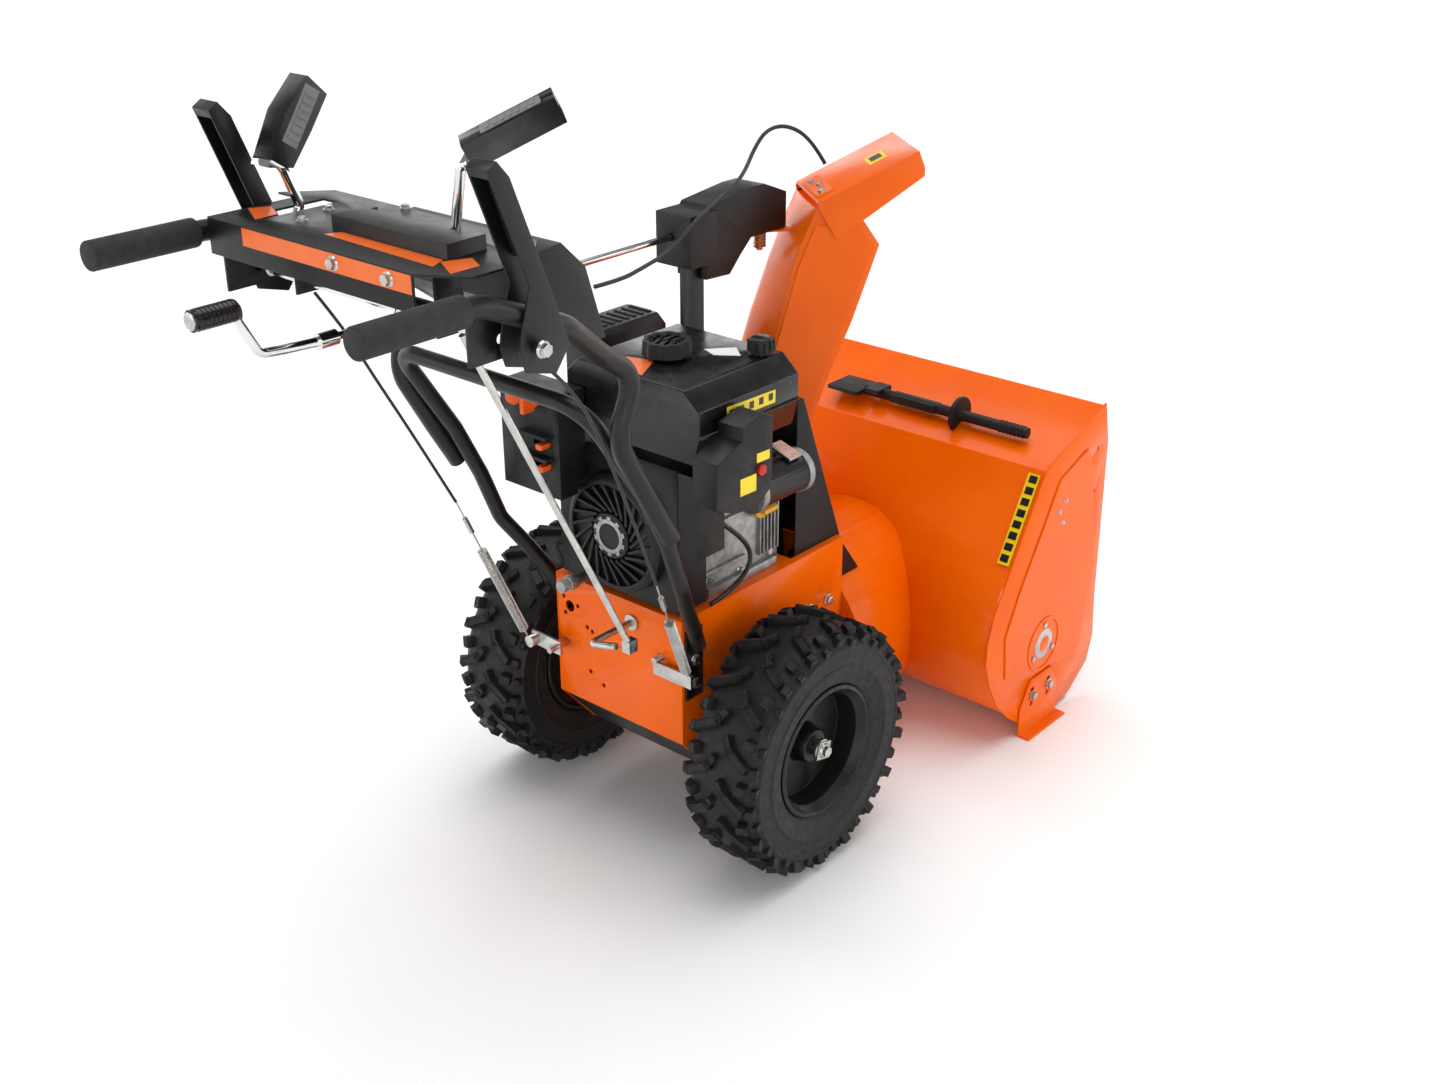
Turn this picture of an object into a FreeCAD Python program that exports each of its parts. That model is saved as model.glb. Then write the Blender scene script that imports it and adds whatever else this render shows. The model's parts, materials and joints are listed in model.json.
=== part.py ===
"""Compact two-stage snow blower, walk-behind and self-propelled.

Frame: +X forward towards the auger, +Y to the operator's left, +Z up.
Origin: on the ground under the middle of the wheel axle.  Units: millimetres.
"""
import FreeCAD, Part
import math
import os
import re

import Sketcher
from FreeCAD import Placement, Rotation, Vector

DIMENSIONS = {
    "running gear": {
        "wheel_radius": 190.5, "tyre_width": 120, "tyre_height": 92, "track_half": 230,
        "rim_web": 5, "axle_radius": 9.5, "axle_half": 270, "running_gap": 0.05,
        "gear_module": 2.5, "gear_teeth": 44, "pinion_teeth": 12, "gear_width": 12, "gear_y": 85,
        "hex_x": 36, "hex_rise": 60, "hex_radius": 6, "friction_radius": 55, "friction_width": 16,
    },
    "tractor frame": {
        "frame_rear": 127, "frame_front": 240, "frame_half": 122.5, "frame_top": 393,
        "frame_low": 120, "frame_knee": 197, "frame_sheet": 2.5, "cross_x": 120,
    },
    "auger housing": {
        "bucket_half": 308, "bucket_sheet": 2.5, "side_sheet": 3,
        "bucket_front": 706, "bucket_top": 526, "auger_x": 540, "auger_height": 152,
        "auger_radius": 124, "auger_shaft_radius": 14, "ribbon_width": 52, "ribbon_sheet": 4,
        "auger_pitch": 260, "gearbox_half": 34,
        "shoe_offset": 27, "shoe_front": 599, "shoe_rear": 483, "shoe_sheet": 4,
    },
    "impeller": {
        "drum_radius": 165, "drum_sheet": 2.5, "impeller_height": 190, "impeller_radius": 146,
        "outlet_x": 305, "outlet_y": 100, "outlet_radius": 60, "outlet_top": 398,
        "impeller_shaft": 9.5,
    },
    "belt drive": {
        "crank_height": 490, "traction_x": 144, "auger_belt_x": 168, "pulley_width": 18,
        "crank_small": 30, "crank_large": 38, "traction_pulley": 50, "auger_pulley": 55,
        "belt_thick": 8, "belt_width": 12, "belt_gap": 0.8, "disc_radius": 70, "disc_gap": 0.8,
    },
    "engine": {
        "shroud_half": 112, "recoil_radius": 86, "crank_radius": 11,
        "tank_rear": 130, "tank_front": 75, "tank_right": 160, "tank_left": 80,
        "tank_seam": 670, "tank_top": 732, "tank_low": 632, "cap_radius": 36,
        "muffler_left": 253, "muffler_right": 152, "muffler_top": 700,
    },
    "chute": {
        "chute_yaw": 38, "chute_half": 65, "chute_sheet": 2.5, "collar_gap": 0.5,
        "hinge_reach": 80, "hinge_height": 864, "hinge_pin": 3, "head_radius": 36, "rod_height": 844,
        "rod_radius": 5, "post_x": 150,
    },
    "handles": {
        "grip_end": 708.6, "grip_length": 137.6, "grip_radius": 17.5, "grip_y": 234,
        "grip_height": 964, "tube_radius": 12.7, "tube_wall": 1.6, "leg_radius": 11,
        "leg_y": 175, "dash_height": 985, "dash_sheet": 3, "dash_rear": 565, "dash_front": 388,
        "clutch_x": 488, "clutch_y": 234, "clutch_height": 908,
        "shift_x": 505, "shift_y": 168, "shift_height": 914,
        "select_x": 448, "select_y": 83, "select_height": 905,
    },
}
SIDE_BOLTS = ((160, 300), (205, 300), (160, 210), (215, 205))
FOOT_BOLTS = ((-105, 329), (-105, 292))
SHOE_BOLTS = ((516.5, 66), (566.5, 66))
BEARING_BOLTS = [(540 + 34 * math.cos(math.radians(turn)), 152 + 34 * math.sin(math.radians(turn)))
                 for turn in (90, 210, 330)]
ALIASES = {alias for group in DIMENSIONS.values() for alias in group}
INWARD = {"+x": ((0, 1, 0), 90), "-x": ((0, 1, 0), -90), "+y": ((1, 0, 0), -90), "-y": ((1, 0, 0), 90),
          "+z": ((0, 0, 1), 0), "-z": ((1, 0, 0), 180)}

doc = FreeCAD.newDocument("snow_blower")
sheet = doc.addObject("Spreadsheet::Sheet", "size")
nodes = []
counter = {}


def fill_sheet():
    """Write every driving dimension in its own cell, with a word as its alias."""
    row = 1
    for heading, group in DIMENSIONS.items():
        sheet.set("A%d" % row, heading)
        row += 1
        for alias, number in group.items():
            sheet.set("A%d" % row, alias)
            sheet.set("B%d" % row, str(number))
            sheet.setAlias("B%d" % row, alias)
            row += 1
    doc.recompute()


def dim(alias):
    """The number that the sheet holds under an alias."""
    return float(sheet.get(alias))


def bound(text):
    """An expression in which each alias points at the sheet."""
    return re.sub(r"[a-z][a-z_]*", lambda word: "size." + word.group() if word.group() in ALIASES
                  else word.group(), str(text))


def fresh(stem):
    """A new object name: the stem and a running number."""
    counter[stem] = counter.get(stem, 0) + 1
    return "%s_%d" % (stem, counter[stem])


def place(obj, at, turn=None):
    """Bind an object's position to the sheet, and turn it about its own origin."""
    if turn:
        obj.Placement = Placement(Vector(), Rotation(Vector(*turn[0]), turn[1]))
    for axis, text in zip("xyz", at):
        obj.setExpression(".Placement.Base." + axis, bound(text))
    return obj


def box(size, corner, turn=None):
    """A bound rectangular block."""
    block = doc.addObject("Part::Box", fresh("block"))
    for side, text in zip(("Length", "Width", "Height"), size):
        block.setExpression(side, bound(text))
    return place(block, corner, turn)


def rod(radius, length, start, towards):
    """A bound cylinder from a start point along a row axis."""
    cylinder = doc.addObject("Part::Cylinder", fresh("cylinder"))
    cylinder.setExpression("Radius", bound(radius))
    cylinder.setExpression("Height", bound(length))
    return place(cylinder, start, INWARD[towards])


def cone(radius_1, radius_2, length, start, towards):
    """A bound cone from a start point along a row axis."""
    taper = doc.addObject("Part::Cone", fresh("taper"))
    taper.setExpression("Radius1", bound(radius_1))
    taper.setExpression("Radius2", bound(radius_2))
    taper.setExpression("Height", bound(length))
    return place(taper, start, INWARD[towards])


def sketch_on(body, plane, offset, outline=(), circles=()):
    """A fully constrained sketch on one of the body's origin planes."""
    sketch = body.newObject("Sketcher::SketchObject", fresh("sketch"))
    base = next(item for item in body.Origin.OriginFeatures if item.Role == plane + "_Plane")
    sketch.AttachmentSupport = (base, [""])
    sketch.MapMode = "FlatFace"
    sketch.setExpression(".AttachmentOffset.Base.z", bound(offset))
    corners = [Vector(math.cos(2 * math.pi * k / max(len(outline), 1)),
                      math.sin(2 * math.pi * k / max(len(outline), 1)), 0) for k in range(len(outline))]
    for k in range(len(outline)):
        sketch.addGeometry(Part.LineSegment(corners[k], corners[(k + 1) % len(outline)]), False)
    for k in range(len(outline)):
        sketch.addConstraint(Sketcher.Constraint("Coincident", k, 2, (k + 1) % len(outline), 1))
    for k, point in enumerate(outline):
        hold_point(sketch, k, 1, point)
    for across, up, radius in circles:
        k = sketch.addGeometry(Part.Circle(Vector(), Vector(0, 0, 1), 1), False)
        hold_point(sketch, k, 3, (across, up))
        index = sketch.addConstraint(Sketcher.Constraint("Radius", k, 1.0))
        sketch.setExpression("Constraints[%d]" % index, bound(radius))
    return sketch


def hold_point(sketch, geometry, position, point):
    """Hold one sketch point at bound distances from the sketch origin."""
    for kind, text in zip(("DistanceX", "DistanceY"), point):
        index = sketch.addConstraint(Sketcher.Constraint(kind, geometry, position, 1.0))
        sketch.setExpression("Constraints[%d]" % index, bound(text))


def prism(plane, outline, start, length, circles=()):
    """A body padded from a sketch; on XZ it runs from y = start down to y = start - length."""
    body = doc.addObject("PartDesign::Body", fresh("body"))
    offset = "-(%s)" % start if plane == "XZ" else start
    profile = sketch_on(body, plane, offset, outline, circles)
    pad = body.newObject("PartDesign::Pad", fresh("pad"))
    pad.Profile = profile
    pad.setExpression("Length", bound(length))
    return body


def cut(base, *tools):
    """Base less every tool."""
    result = doc.addObject("Part::Cut", fresh("cut"))
    result.Base = base
    result.Tool = tools[0] if len(tools) == 1 else join(*tools)
    return result


def join(*pieces):
    """One solid from overlapping pieces."""
    result = doc.addObject("Part::MultiFuse", fresh("join"))
    result.Shapes = list(pieces)
    return result


def group(*pieces):
    """Several separate solids kept in one node."""
    result = doc.addObject("Part::Compound", fresh("group"))
    result.Links = list(pieces)
    return result


def shaped(shape):
    """A feature for a shape that neither a body nor a primitive can make."""
    feature = doc.addObject("Part::Feature", fresh("shaped"))
    feature.Shape = shape
    return feature


def keep(label, obj):
    """Name a finished sub-part."""
    obj.Label = label
    nodes.append(obj)
    return obj


def bent_path(points, bend):
    """Straight runs joined by tangent arcs, each arc as large as its runs and the bend allow."""
    points = [Vector(*point) for point in points]
    edges = []
    start = points[0]
    for before, corner, after in zip(points, points[1:], points[2:]):
        back = (before - corner).normalize()
        ahead = (after - corner).normalize()
        half_turn = (math.pi - back.getAngle(ahead)) / 2
        shorter = min(before.distanceToPoint(corner), after.distanceToPoint(corner))
        reach = min(bend * math.tan(half_turn), 0.45 * shorter)
        radius = reach / math.tan(half_turn)
        entry = corner + back * reach
        leave = corner + ahead * reach
        inward = (back + ahead).normalize()
        middle = corner + inward * (radius / math.cos(half_turn) - radius)
        edges.append(Part.LineSegment(start, entry).toShape())
        edges.append(Part.Arc(entry, middle, leave).toShape())
        start = leave
    edges.append(Part.LineSegment(start, points[-1]).toShape())
    return Part.Wire(edges)


def tube_shape(points, radius, bend, bore=0):
    """A round bar, or a tube where a bore is given, along a bent path."""
    path = bent_path(points, bend)
    first = Vector(*points[0])
    heading = Vector(*points[1]) - first
    solids = []
    for size in (radius, bore):
        if size > 0:
            ring = Part.Wire(Part.makeCircle(size, first, heading))
            solids.append(path.makePipeShell([ring], True, False))
    solid = solids[0] if len(solids) == 1 else solids[0].cut(solids[1])
    expected = math.pi * (radius ** 2 - bore ** 2) * path.Length
    if abs(solid.Volume - expected) > 0.02 * expected:
        raise RuntimeError("tube volume is not its section times its length")
    return solid


def mirrored(points):
    """The same points on the other side of the machine."""
    return [(x, -y, z) for x, y, z in points]


def bar_between(start, end, radius):
    """A straight round bar between two points."""
    start = Vector(*start)
    run = Vector(*end) - start
    return Part.makeCylinder(radius, run.Length, start, run)


def hex_bolt(at, towards, size, length):
    """A flanged hexagon-head bolt: head, flange and shank, the head pointing the given way."""
    circumradius = 0.9 * size
    corners = [Vector(circumradius * math.cos(math.radians(60 * k)),
                      circumradius * math.sin(math.radians(60 * k)),
                      0.25 * size) for k in range(7)]
    head = Part.Face(Part.makePolygon(corners)).extrude(Vector(0, 0, 0.6 * size))
    flange = Part.makeCylinder(1.15 * size, 0.25 * size)
    shank = Part.makeCylinder(0.5 * size, length, Vector(0, 0, -length))
    solid = head.fuse([flange, shank]).removeSplitter()
    solid.Placement = Placement(Vector(*at), Rotation(Vector(0, 0, 1), Vector(*towards)))
    return solid


# ---------------------------------------------------------------- running gear

def axle_z():
    return "wheel_radius"


def tyre(side):
    """A lugged pneumatic tyre: a crowned tread, a bead bore and two rows of raised lugs."""
    outer = dim("wheel_radius")
    half = dim("tyre_width") / 2
    bead = outer - dim("tyre_height")
    lug = 9
    carcass = outer - lug
    points = [Vector(bead, -half + 12, 0), Vector(bead + 30, -half, 0), Vector(carcass - 16, -half + 2, 0),
              Vector(carcass, -half + 22, 0), Vector(carcass, half - 22, 0),
              Vector(carcass - 16, half - 2, 0),
              Vector(bead + 30, half, 0), Vector(bead, half - 12, 0)]
    section = Part.Face(Part.makePolygon(points + [points[0]]))
    body = section.revolve(Vector(), Vector(0, 1, 0), 360)
    lugs = []
    count = 18
    for k in range(count):
        for hand in (1, -1):
            block = Part.makeBox(16, half - 8, lug + 8, Vector(-8, 3, carcass - 8))
            block.rotate(Vector(), Vector(0, 0, 1), -18 if hand > 0 else 18)
            if hand < 0:
                block = block.mirror(Vector(), Vector(0, 1, 0))
            block.rotate(Vector(), Vector(0, 1, 0), (k + (0.5 if hand < 0 else 0)) * 360 / count)
            lugs.append(block)
    limit = Part.makeCylinder(outer, 2 * half, Vector(0, -half, 0), Vector(0, 1, 0))
    solid = body.fuse([lug_block.common(limit) for lug_block in lugs])
    solid.Placement = Placement(Vector(0, side * dim("track_half"), outer), Rotation())
    return solid


def rim(side):
    """A stepped pressed-steel rim with a dished web and a hub tube on the axle."""
    bead = dim("wheel_radius") - dim("tyre_height")
    half = dim("tyre_width") / 2
    seat = bead - 0.3
    wall = 3
    web = dim("rim_web")
    bore = dim("axle_radius")
    out = [Vector(seat, -half + 12, 0), Vector(seat, half - 12, 0), Vector(bead + 2, half - 9, 0),
           Vector(bead - 4, half - 6, 0), Vector(bead - 4 - wall, half - 14, 0),
           Vector(bead - 14, half - 20, 0),
           Vector(bead - 14, 6, 0), Vector(30, 6, 0), Vector(24, 30, 0), Vector(bore, 30, 0),
           Vector(bore, -34, 0), Vector(22, -34, 0), Vector(28, 6 - web, 0),
           Vector(bead - 14 - wall, 6 - web, 0),
           Vector(bead - 14 - wall, -half + 20, 0), Vector(bead - 4 - wall, -half + 14, 0),
           Vector(bead - 4, -half + 6, 0), Vector(bead + 2, -half + 9, 0)]
    if side < 0:
        out = [Vector(point.x, -point.y, 0) for point in out]
    solid = Part.Face(Part.makePolygon(out + [out[0]])).revolve(Vector(), Vector(0, 1, 0), 360)
    solid.Placement = Placement(Vector(0, side * dim("track_half"), dim("wheel_radius")), Rotation())
    return solid


def spur_gear(teeth, width, bore):
    """A straight-toothed gear with backlash, its axis along +Y."""
    module = dim("gear_module")
    pitch = teeth * module / 2
    step = 2 * math.pi / teeth
    corners = []
    for k in range(teeth):
        for share, radius in ((-0.30, pitch - 1.3 * module), (-0.21, pitch), (-0.10, pitch + 0.9 * module),
                              (0.10, pitch + 0.9 * module), (0.21, pitch), (0.30, pitch - 1.3 * module)):
            angle = (k + share) * step
            corners.append(Vector(radius * math.sin(angle), 0, radius * math.cos(angle)))
    blank = Part.Face(Part.makePolygon(corners + [corners[0]])).extrude(Vector(0, width, 0))
    return blank.cut(Part.makeCylinder(bore, 3 * width, Vector(0, -width, 0),
                                       Vector(0, 1, 0))) if bore else blank


def build_running_gear():
    keep("tyre_right", shaped(tyre(-1)))
    keep("tyre_left", shaped(tyre(1)))
    keep("wheel_rims", group(shaped(rim(-1)), shaped(rim(1))))

    gear = spur_gear(int(dim("gear_teeth")), dim("gear_width"), 0)
    lift = math.atan2(dim("hex_x"), dim("hex_rise"))
    gear.rotate(Vector(), Vector(0, 1, 0), math.degrees(lift))
    gear.translate(Vector(0, dim("gear_y"), dim("wheel_radius")))
    shaft = rod("axle_radius", "2 * axle_half", ("0", "-axle_half", axle_z()), "+y")
    right_nut = rod("16", "6", ("0", "-axle_half - 4", axle_z()), "+y")
    left_nut = rod("16", "6", ("0", "axle_half - 2", axle_z()), "+y")
    keep("drive_axle", join(shaft, shaped(gear), right_nut, left_nut))

    pinion_teeth = int(dim("pinion_teeth"))
    pinion = spur_gear(pinion_teeth, dim("gear_width"), 0)
    pinion.rotate(Vector(), Vector(0, 1, 0), math.degrees(lift) + 180 + 180 / pinion_teeth)
    pinion.translate(Vector(dim("hex_x"), dim("gear_y"), dim("wheel_radius") + dim("hex_rise")))
    hex_z = "wheel_radius + hex_rise"
    hex_shaft = rod("hex_radius", "2 * frame_half - 1", ("hex_x", "-frame_half + 0.5", hex_z), "+y")
    keep("hex_shaft", join(hex_shaft, shaped(pinion)))

    tread = rod("friction_radius", "friction_width", ("hex_x", "-friction_width / 2", hex_z), "+y")
    hub = rod("22", "36", ("hex_x", "-18", hex_z), "+y")
    bore = rod("hex_radius + running_gap", "60", ("hex_x", "-30", hex_z), "+y")
    keep("friction_wheel", cut(join(tread, hub), bore))

    disc_x = "hex_x + friction_radius + disc_gap"
    disc = rod("disc_radius", "8", (disc_x, "0", hex_z), "+x")
    spindle = rod("8", "traction_x + pulley_width - (%s)" % disc_x, (disc_x, "0", hex_z), "+x")
    pulley = rod("traction_pulley", "pulley_width - 2", ("traction_x", "0", hex_z), "+x")
    keep("traction_disc", join(disc, spindle, pulley))


def build_frame():
    """Folded steel box between the wheels, open below, with the belts' slot in its top."""
    outline = [("-frame_rear", "frame_top"), ("-frame_rear", "frame_knee"), ("-60", "frame_low"),
               ("frame_front", "frame_low"), ("frame_front", "frame_top")]
    hollow = [("-frame_rear + frame_sheet", "frame_top - frame_sheet"),
              ("-frame_rear + frame_sheet", "frame_low - 20"),
              ("frame_front - frame_sheet", "frame_low - 20"),
              ("frame_front - frame_sheet", "frame_top - frame_sheet")]
    shell = prism("XZ", outline, "frame_half", "2 * frame_half")
    inside = prism("XZ", hollow, "frame_half - frame_sheet", "2 * (frame_half - frame_sheet)")
    folded = cut(shell, inside)
    cross = box(("3", "2 * frame_half - 2", "130"), ("cross_x", "-frame_half + 1", "190"))
    slot = box(("frame_front - 126", "171", "64"), ("128", "-110.5", "frame_top - 62"))
    hex_z = "wheel_radius + hex_rise"
    axle_hole = rod("14", "3 * frame_half", ("0", "-1.5 * frame_half", axle_z()), "+y")
    hex_hole = rod("hex_radius + running_gap", "3 * frame_half", ("hex_x", "-1.5 * frame_half", hex_z),
                   "+y")
    spindle_hole = rod("8 + running_gap", "20", ("cross_x - 5", "0", hex_z), "+x")
    impeller_hole = rod("impeller_shaft + running_gap", "20", ("frame_front - 10", "0", "impeller_height"),
                        "+x")
    holes = [axle_hole, hex_hole, spindle_hole, impeller_hole, slot]
    for across, up, radius in ((96, 345, 9), (108, 358, 3.5), (80, 350, 3.5), (106, 332, 3.5),
                               (62, 322, 3.5),
                               (52, 318, 3.5), (58, 250, 3.5), (32, 236, 3.5), (-86, 327, 5.05),
                               (-29, 362, 5.05),
                               (104, 284, 5.05)):
        holes.append(rod(radius, "20", ("-frame_rear - 10", across, up), "+x"))
    for along, up in SIDE_BOLTS + FOOT_BOLTS:
        holes.append(rod("4.3", "3 * frame_half", (along, "-1.5 * frame_half", up), "+y"))
    keep("frame_box", cut(join(folded, cross), *holes))

    pan = [("-123.5", "193"), ("-58.6", "frame_low + 0.2"), ("frame_front - 3", "frame_low + 0.2"),
           ("frame_front - 3", "frame_low + 2.7"), ("-57.4", "frame_low + 2.7"), ("-121.4", "194.8")]
    keep("belly_pan", prism("XZ", pan, "frame_half - 3", "2 * frame_half - 6"))

    bearings = []
    for side in ("+y", "-y"):
        sign = "" if side == "+y" else "-"
        sleeve = rod("13.9", "10", ("0", "%s(frame_half - 6)" % sign, axle_z()), side)
        collar = rod("22", "3", ("0", "%s(frame_half + 0.1)" % sign, axle_z()), side)
        bore = rod("axle_radius + running_gap", "30", ("0", "%s(frame_half - 15)" % sign, axle_z()), side)
        bearings.append(cut(join(sleeve, collar), bore))
        cup = rod("26", "4", ("auger_x", "%s(bucket_half + side_sheet + 0.1)" % sign, "auger_height"), side)
        sleeve = rod("17.8", "22", ("auger_x", "%s(bucket_half - 14)" % sign, "auger_height"), side)
        bore = rod("auger_shaft_radius + running_gap", "60", ("auger_x", "%s(bucket_half - 30)" % sign,
                                                              "auger_height"), side)
        bearings.append(cut(join(cup, sleeve), bore))
    keep("flange_bearings", group(*bearings))


# ---------------------------------------------------------------- auger housing

def bucket_profile():
    """The housing's side profile: sloping roof, straight back, round heel and flat floor."""
    roof_front = Vector(678, 0, dim("bucket_top"))
    fold = Vector(512, 0, 463)
    heel_top = Vector(426, 0, 325)
    heel_back = Vector(374, 0, 199)
    heel_low = Vector(454, 0, 53)
    floor_start = Vector(500, 0, 22)
    floor_end = Vector(612, 0, 9)
    return Part.Wire([
        Part.LineSegment(roof_front, fold).toShape(),
        Part.LineSegment(fold, heel_top).toShape(),
        Part.Arc(heel_top, heel_back, heel_low).toShape(),
        Part.LineSegment(heel_low, floor_start).toShape(),
        Part.LineSegment(floor_start, floor_end).toShape(),
    ])


def side_outline():
    """The edge of a side plate, from the roof's front corner round to the floor."""
    return [("682", "bucket_top + 2"), ("512", "467"), ("499", "450"), ("422", "325"), ("384", "262"),
            ("371", "217"), ("370", "181"), ("384", "139"), ("411", "91"), ("451", "49"), ("497", "17"),
            ("612", "4"), ("650", "14"), ("702", "50"), ("716", "97"), ("bucket_front + 2", "174"),
            ("700", "460")]


def build_bucket():
    half = dim("bucket_half")
    profile = bucket_profile()
    strip = profile.makeOffset2D(dim("bucket_sheet"), 0, True, True)
    skin = strip.extrude(Vector(0, 2 * half - 0.4, 0))
    skin.translate(Vector(0, -half + 0.2, 0))
    drum = Part.makeCylinder(dim("drum_radius") - dim("drum_sheet"), 240,
                             Vector(300, 0, dim("impeller_height")),
                             Vector(1, 0, 0))
    skin = skin.cut(drum)
    keep("bucket_shell", shaped(skin))

    plates = []
    for sign in ("", "-"):
        near = "bucket_half + side_sheet" if sign == "" else "-bucket_half"
        circles = [("auger_x", "auger_height", "18"), ("665", "455", "4"), ("668", "380", "4"),
                   ("640", "350", "4")]
        circles += [(along, up, "4.3") for along, up in SHOE_BOLTS]
        circles += [(along, up, "3.3") for along, up in BEARING_BOLTS]
        plate = prism("XZ", side_outline(), near, "side_sheet", circles)
        plates.append(plate)
    keep("side_plates", group(*plates))

    cavity = Part.Face(Part.Wire(profile.Edges + [Part.LineSegment(Vector(612, 0, 9),
                                                                   Vector(900, 0, 9)).toShape(),
                                                  Part.LineSegment(Vector(900, 0, 9),
                                                                   Vector(900, 0, 526)).toShape(),
                                                  Part.LineSegment(Vector(900, 0, 526),
                                                                   Vector(678, 0, 526)).toShape()]))
    cavity = cavity.extrude(Vector(0, 800, 0))
    cavity.translate(Vector(0, -400, 0))
    cavity_feature = shaped(cavity)
    height = "impeller_height"
    wall = rod("drum_radius", "200", ("frame_front + 0.5", "0", height), "+x")
    room = rod("drum_radius - drum_sheet", "260", ("frame_front + 0.5 + drum_sheet", "0", height), "+x")
    spout = rod("outlet_radius", "outlet_top - impeller_height - 40",
                ("outlet_x", "outlet_y", "impeller_height + 40"),
                "+z")
    throat = rod("outlet_radius - drum_sheet", "400", ("outlet_x", "outlet_y", "impeller_height + 20"),
                 "+z")
    shaft_hole = rod("impeller_shaft + running_gap", "40", ("frame_front - 20", "0", height), "+x")
    keep("impeller_drum", cut(join(wall, spout), room, throat, shaft_hole, cavity_feature))

    keep("scraper_bar", box(("38", "2 * bucket_half - 2", "4"), ("613", "-bucket_half + 1", "3")))

    shoes = []
    for sign in (1, -1):
        outer = "-bucket_half - side_sheet - 0.1"
        if sign > 0:
            outer = "bucket_half + side_sheet + 0.1 + shoe_sheet"
        upright = prism("XZ", [("shoe_rear", "0"), ("shoe_front", "0"), ("shoe_front", "52"), ("575", "96"),
                               ("510", "96"), ("shoe_rear", "52")], outer, "shoe_sheet")
        foot_start = "bucket_half + side_sheet + 0.1" if sign > 0 else "-bucket_half - shoe_offset"
        foot = box(("shoe_front - shoe_rear", "shoe_offset - side_sheet - 0.1", "shoe_sheet"),
                   ("shoe_rear", foot_start, "0"))
        slots = [box(("9", "30", "34"), (x, "bucket_half - 5" if sign > 0 else "-bucket_half - 25", "46"))
                 for x in ("512", "562")]
        shoes.append(cut(join(upright, foot), *slots))
    keep("skid_shoes", group(*shoes))


def ribbon(hand):
    """One half of the auger: a helical ribbon that feeds snow to the middle, on two spokes."""
    outer = dim("auger_radius")
    inner = outer - dim("ribbon_width")
    pitch = dim("auger_pitch")
    start = dim("gearbox_half") + 14
    length = dim("bucket_half") - 24 - start
    turns = length / pitch
    steps = 28
    thick = dim("ribbon_sheet")
    sections = []
    for k in range(steps + 1):
        angle = hand * 2 * math.pi * turns * k / steps
        along = start + length * k / steps
        radial = Vector(math.sin(angle), 0, math.cos(angle))
        corners = [radial * inner + Vector(0, along, 0), radial * outer + Vector(0, along, 0),
                   radial * outer + Vector(0, along + thick, 0),
                   radial * inner + Vector(0, along + thick, 0)]
        sections.append(Part.makePolygon(corners + [corners[0]]))
    solid = Part.makeLoft(sections, True, True)
    spokes = []
    for share in (0.06, 0.94):
        angle = hand * 2 * math.pi * turns * share
        along = start + length * share
        radial = Vector(math.sin(angle), 0, math.cos(angle))
        spoke = Part.makeCylinder(6, inner + 10, Vector(0, along, 0), radial)
        spokes.append(spoke)
    return solid.fuse(spokes)


def build_auger():
    """Auger shaft with its two ribbons, the gearbox in the middle and the impeller."""
    at = ("auger_x", "0", "auger_height")
    centre = Vector(dim("auger_x"), 0, dim("auger_height"))
    left = ribbon(1)
    right = ribbon(1).mirror(Vector(), Vector(0, 1, 0))
    for half in (left, right):
        half.translate(centre)
    shaft = rod("auger_shaft_radius", "2 * bucket_half + 16", ("auger_x", "-bucket_half - 8",
                                                               "auger_height"), "+y")
    worm_wheel = rod("28", "14", ("auger_x", "-7", "auger_height"), "+y")
    keep("auger", join(shaft, worm_wheel, shaped(left), shaped(right)))

    case = rod("42", "2 * gearbox_half", ("auger_x", "-gearbox_half", "auger_height"), "+y")
    snout = rod("24", "110", ("auger_x - 80", "0", "impeller_height"), "+x")
    wheel_room = rod("31", "2 * gearbox_half - 16", ("auger_x", "-gearbox_half + 8", "auger_height"), "+y")
    shaft_bore = rod("auger_shaft_radius + running_gap", "4 * gearbox_half",
                     ("auger_x", "-2 * gearbox_half", "auger_height"), "+y")
    worm_room = rod("13", "74", ("auger_x - 52", "0", "impeller_height"), "+x")
    worm_bore = rod("impeller_shaft + running_gap", "90", ("auger_x - 100", "0", "impeller_height"), "+x")
    keep("auger_gearbox", cut(join(case, snout), wheel_room, shaft_bore, worm_room, worm_bore))

    shaft = rod("impeller_shaft", "auger_x - auger_belt_x + 24",
                ("auger_belt_x - 4", "0", "impeller_height"), "+x")
    hub = rod("26", "96", ("256", "0", "impeller_height"), "+x")
    pulley = rod("auger_pulley", "pulley_width", ("auger_belt_x", "0", "impeller_height"), "+x")
    blades = []
    for k in range(4):
        turn = ((1, 0, 0), 90 * k)
        blade = box(("84", "5", "impeller_radius - 10"), ("262", "0", "impeller_height"), turn)
        blades.append(blade)
    keep("impeller", join(shaft, hub, pulley, *blades))


# ---------------------------------------------------------------- belts

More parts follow.
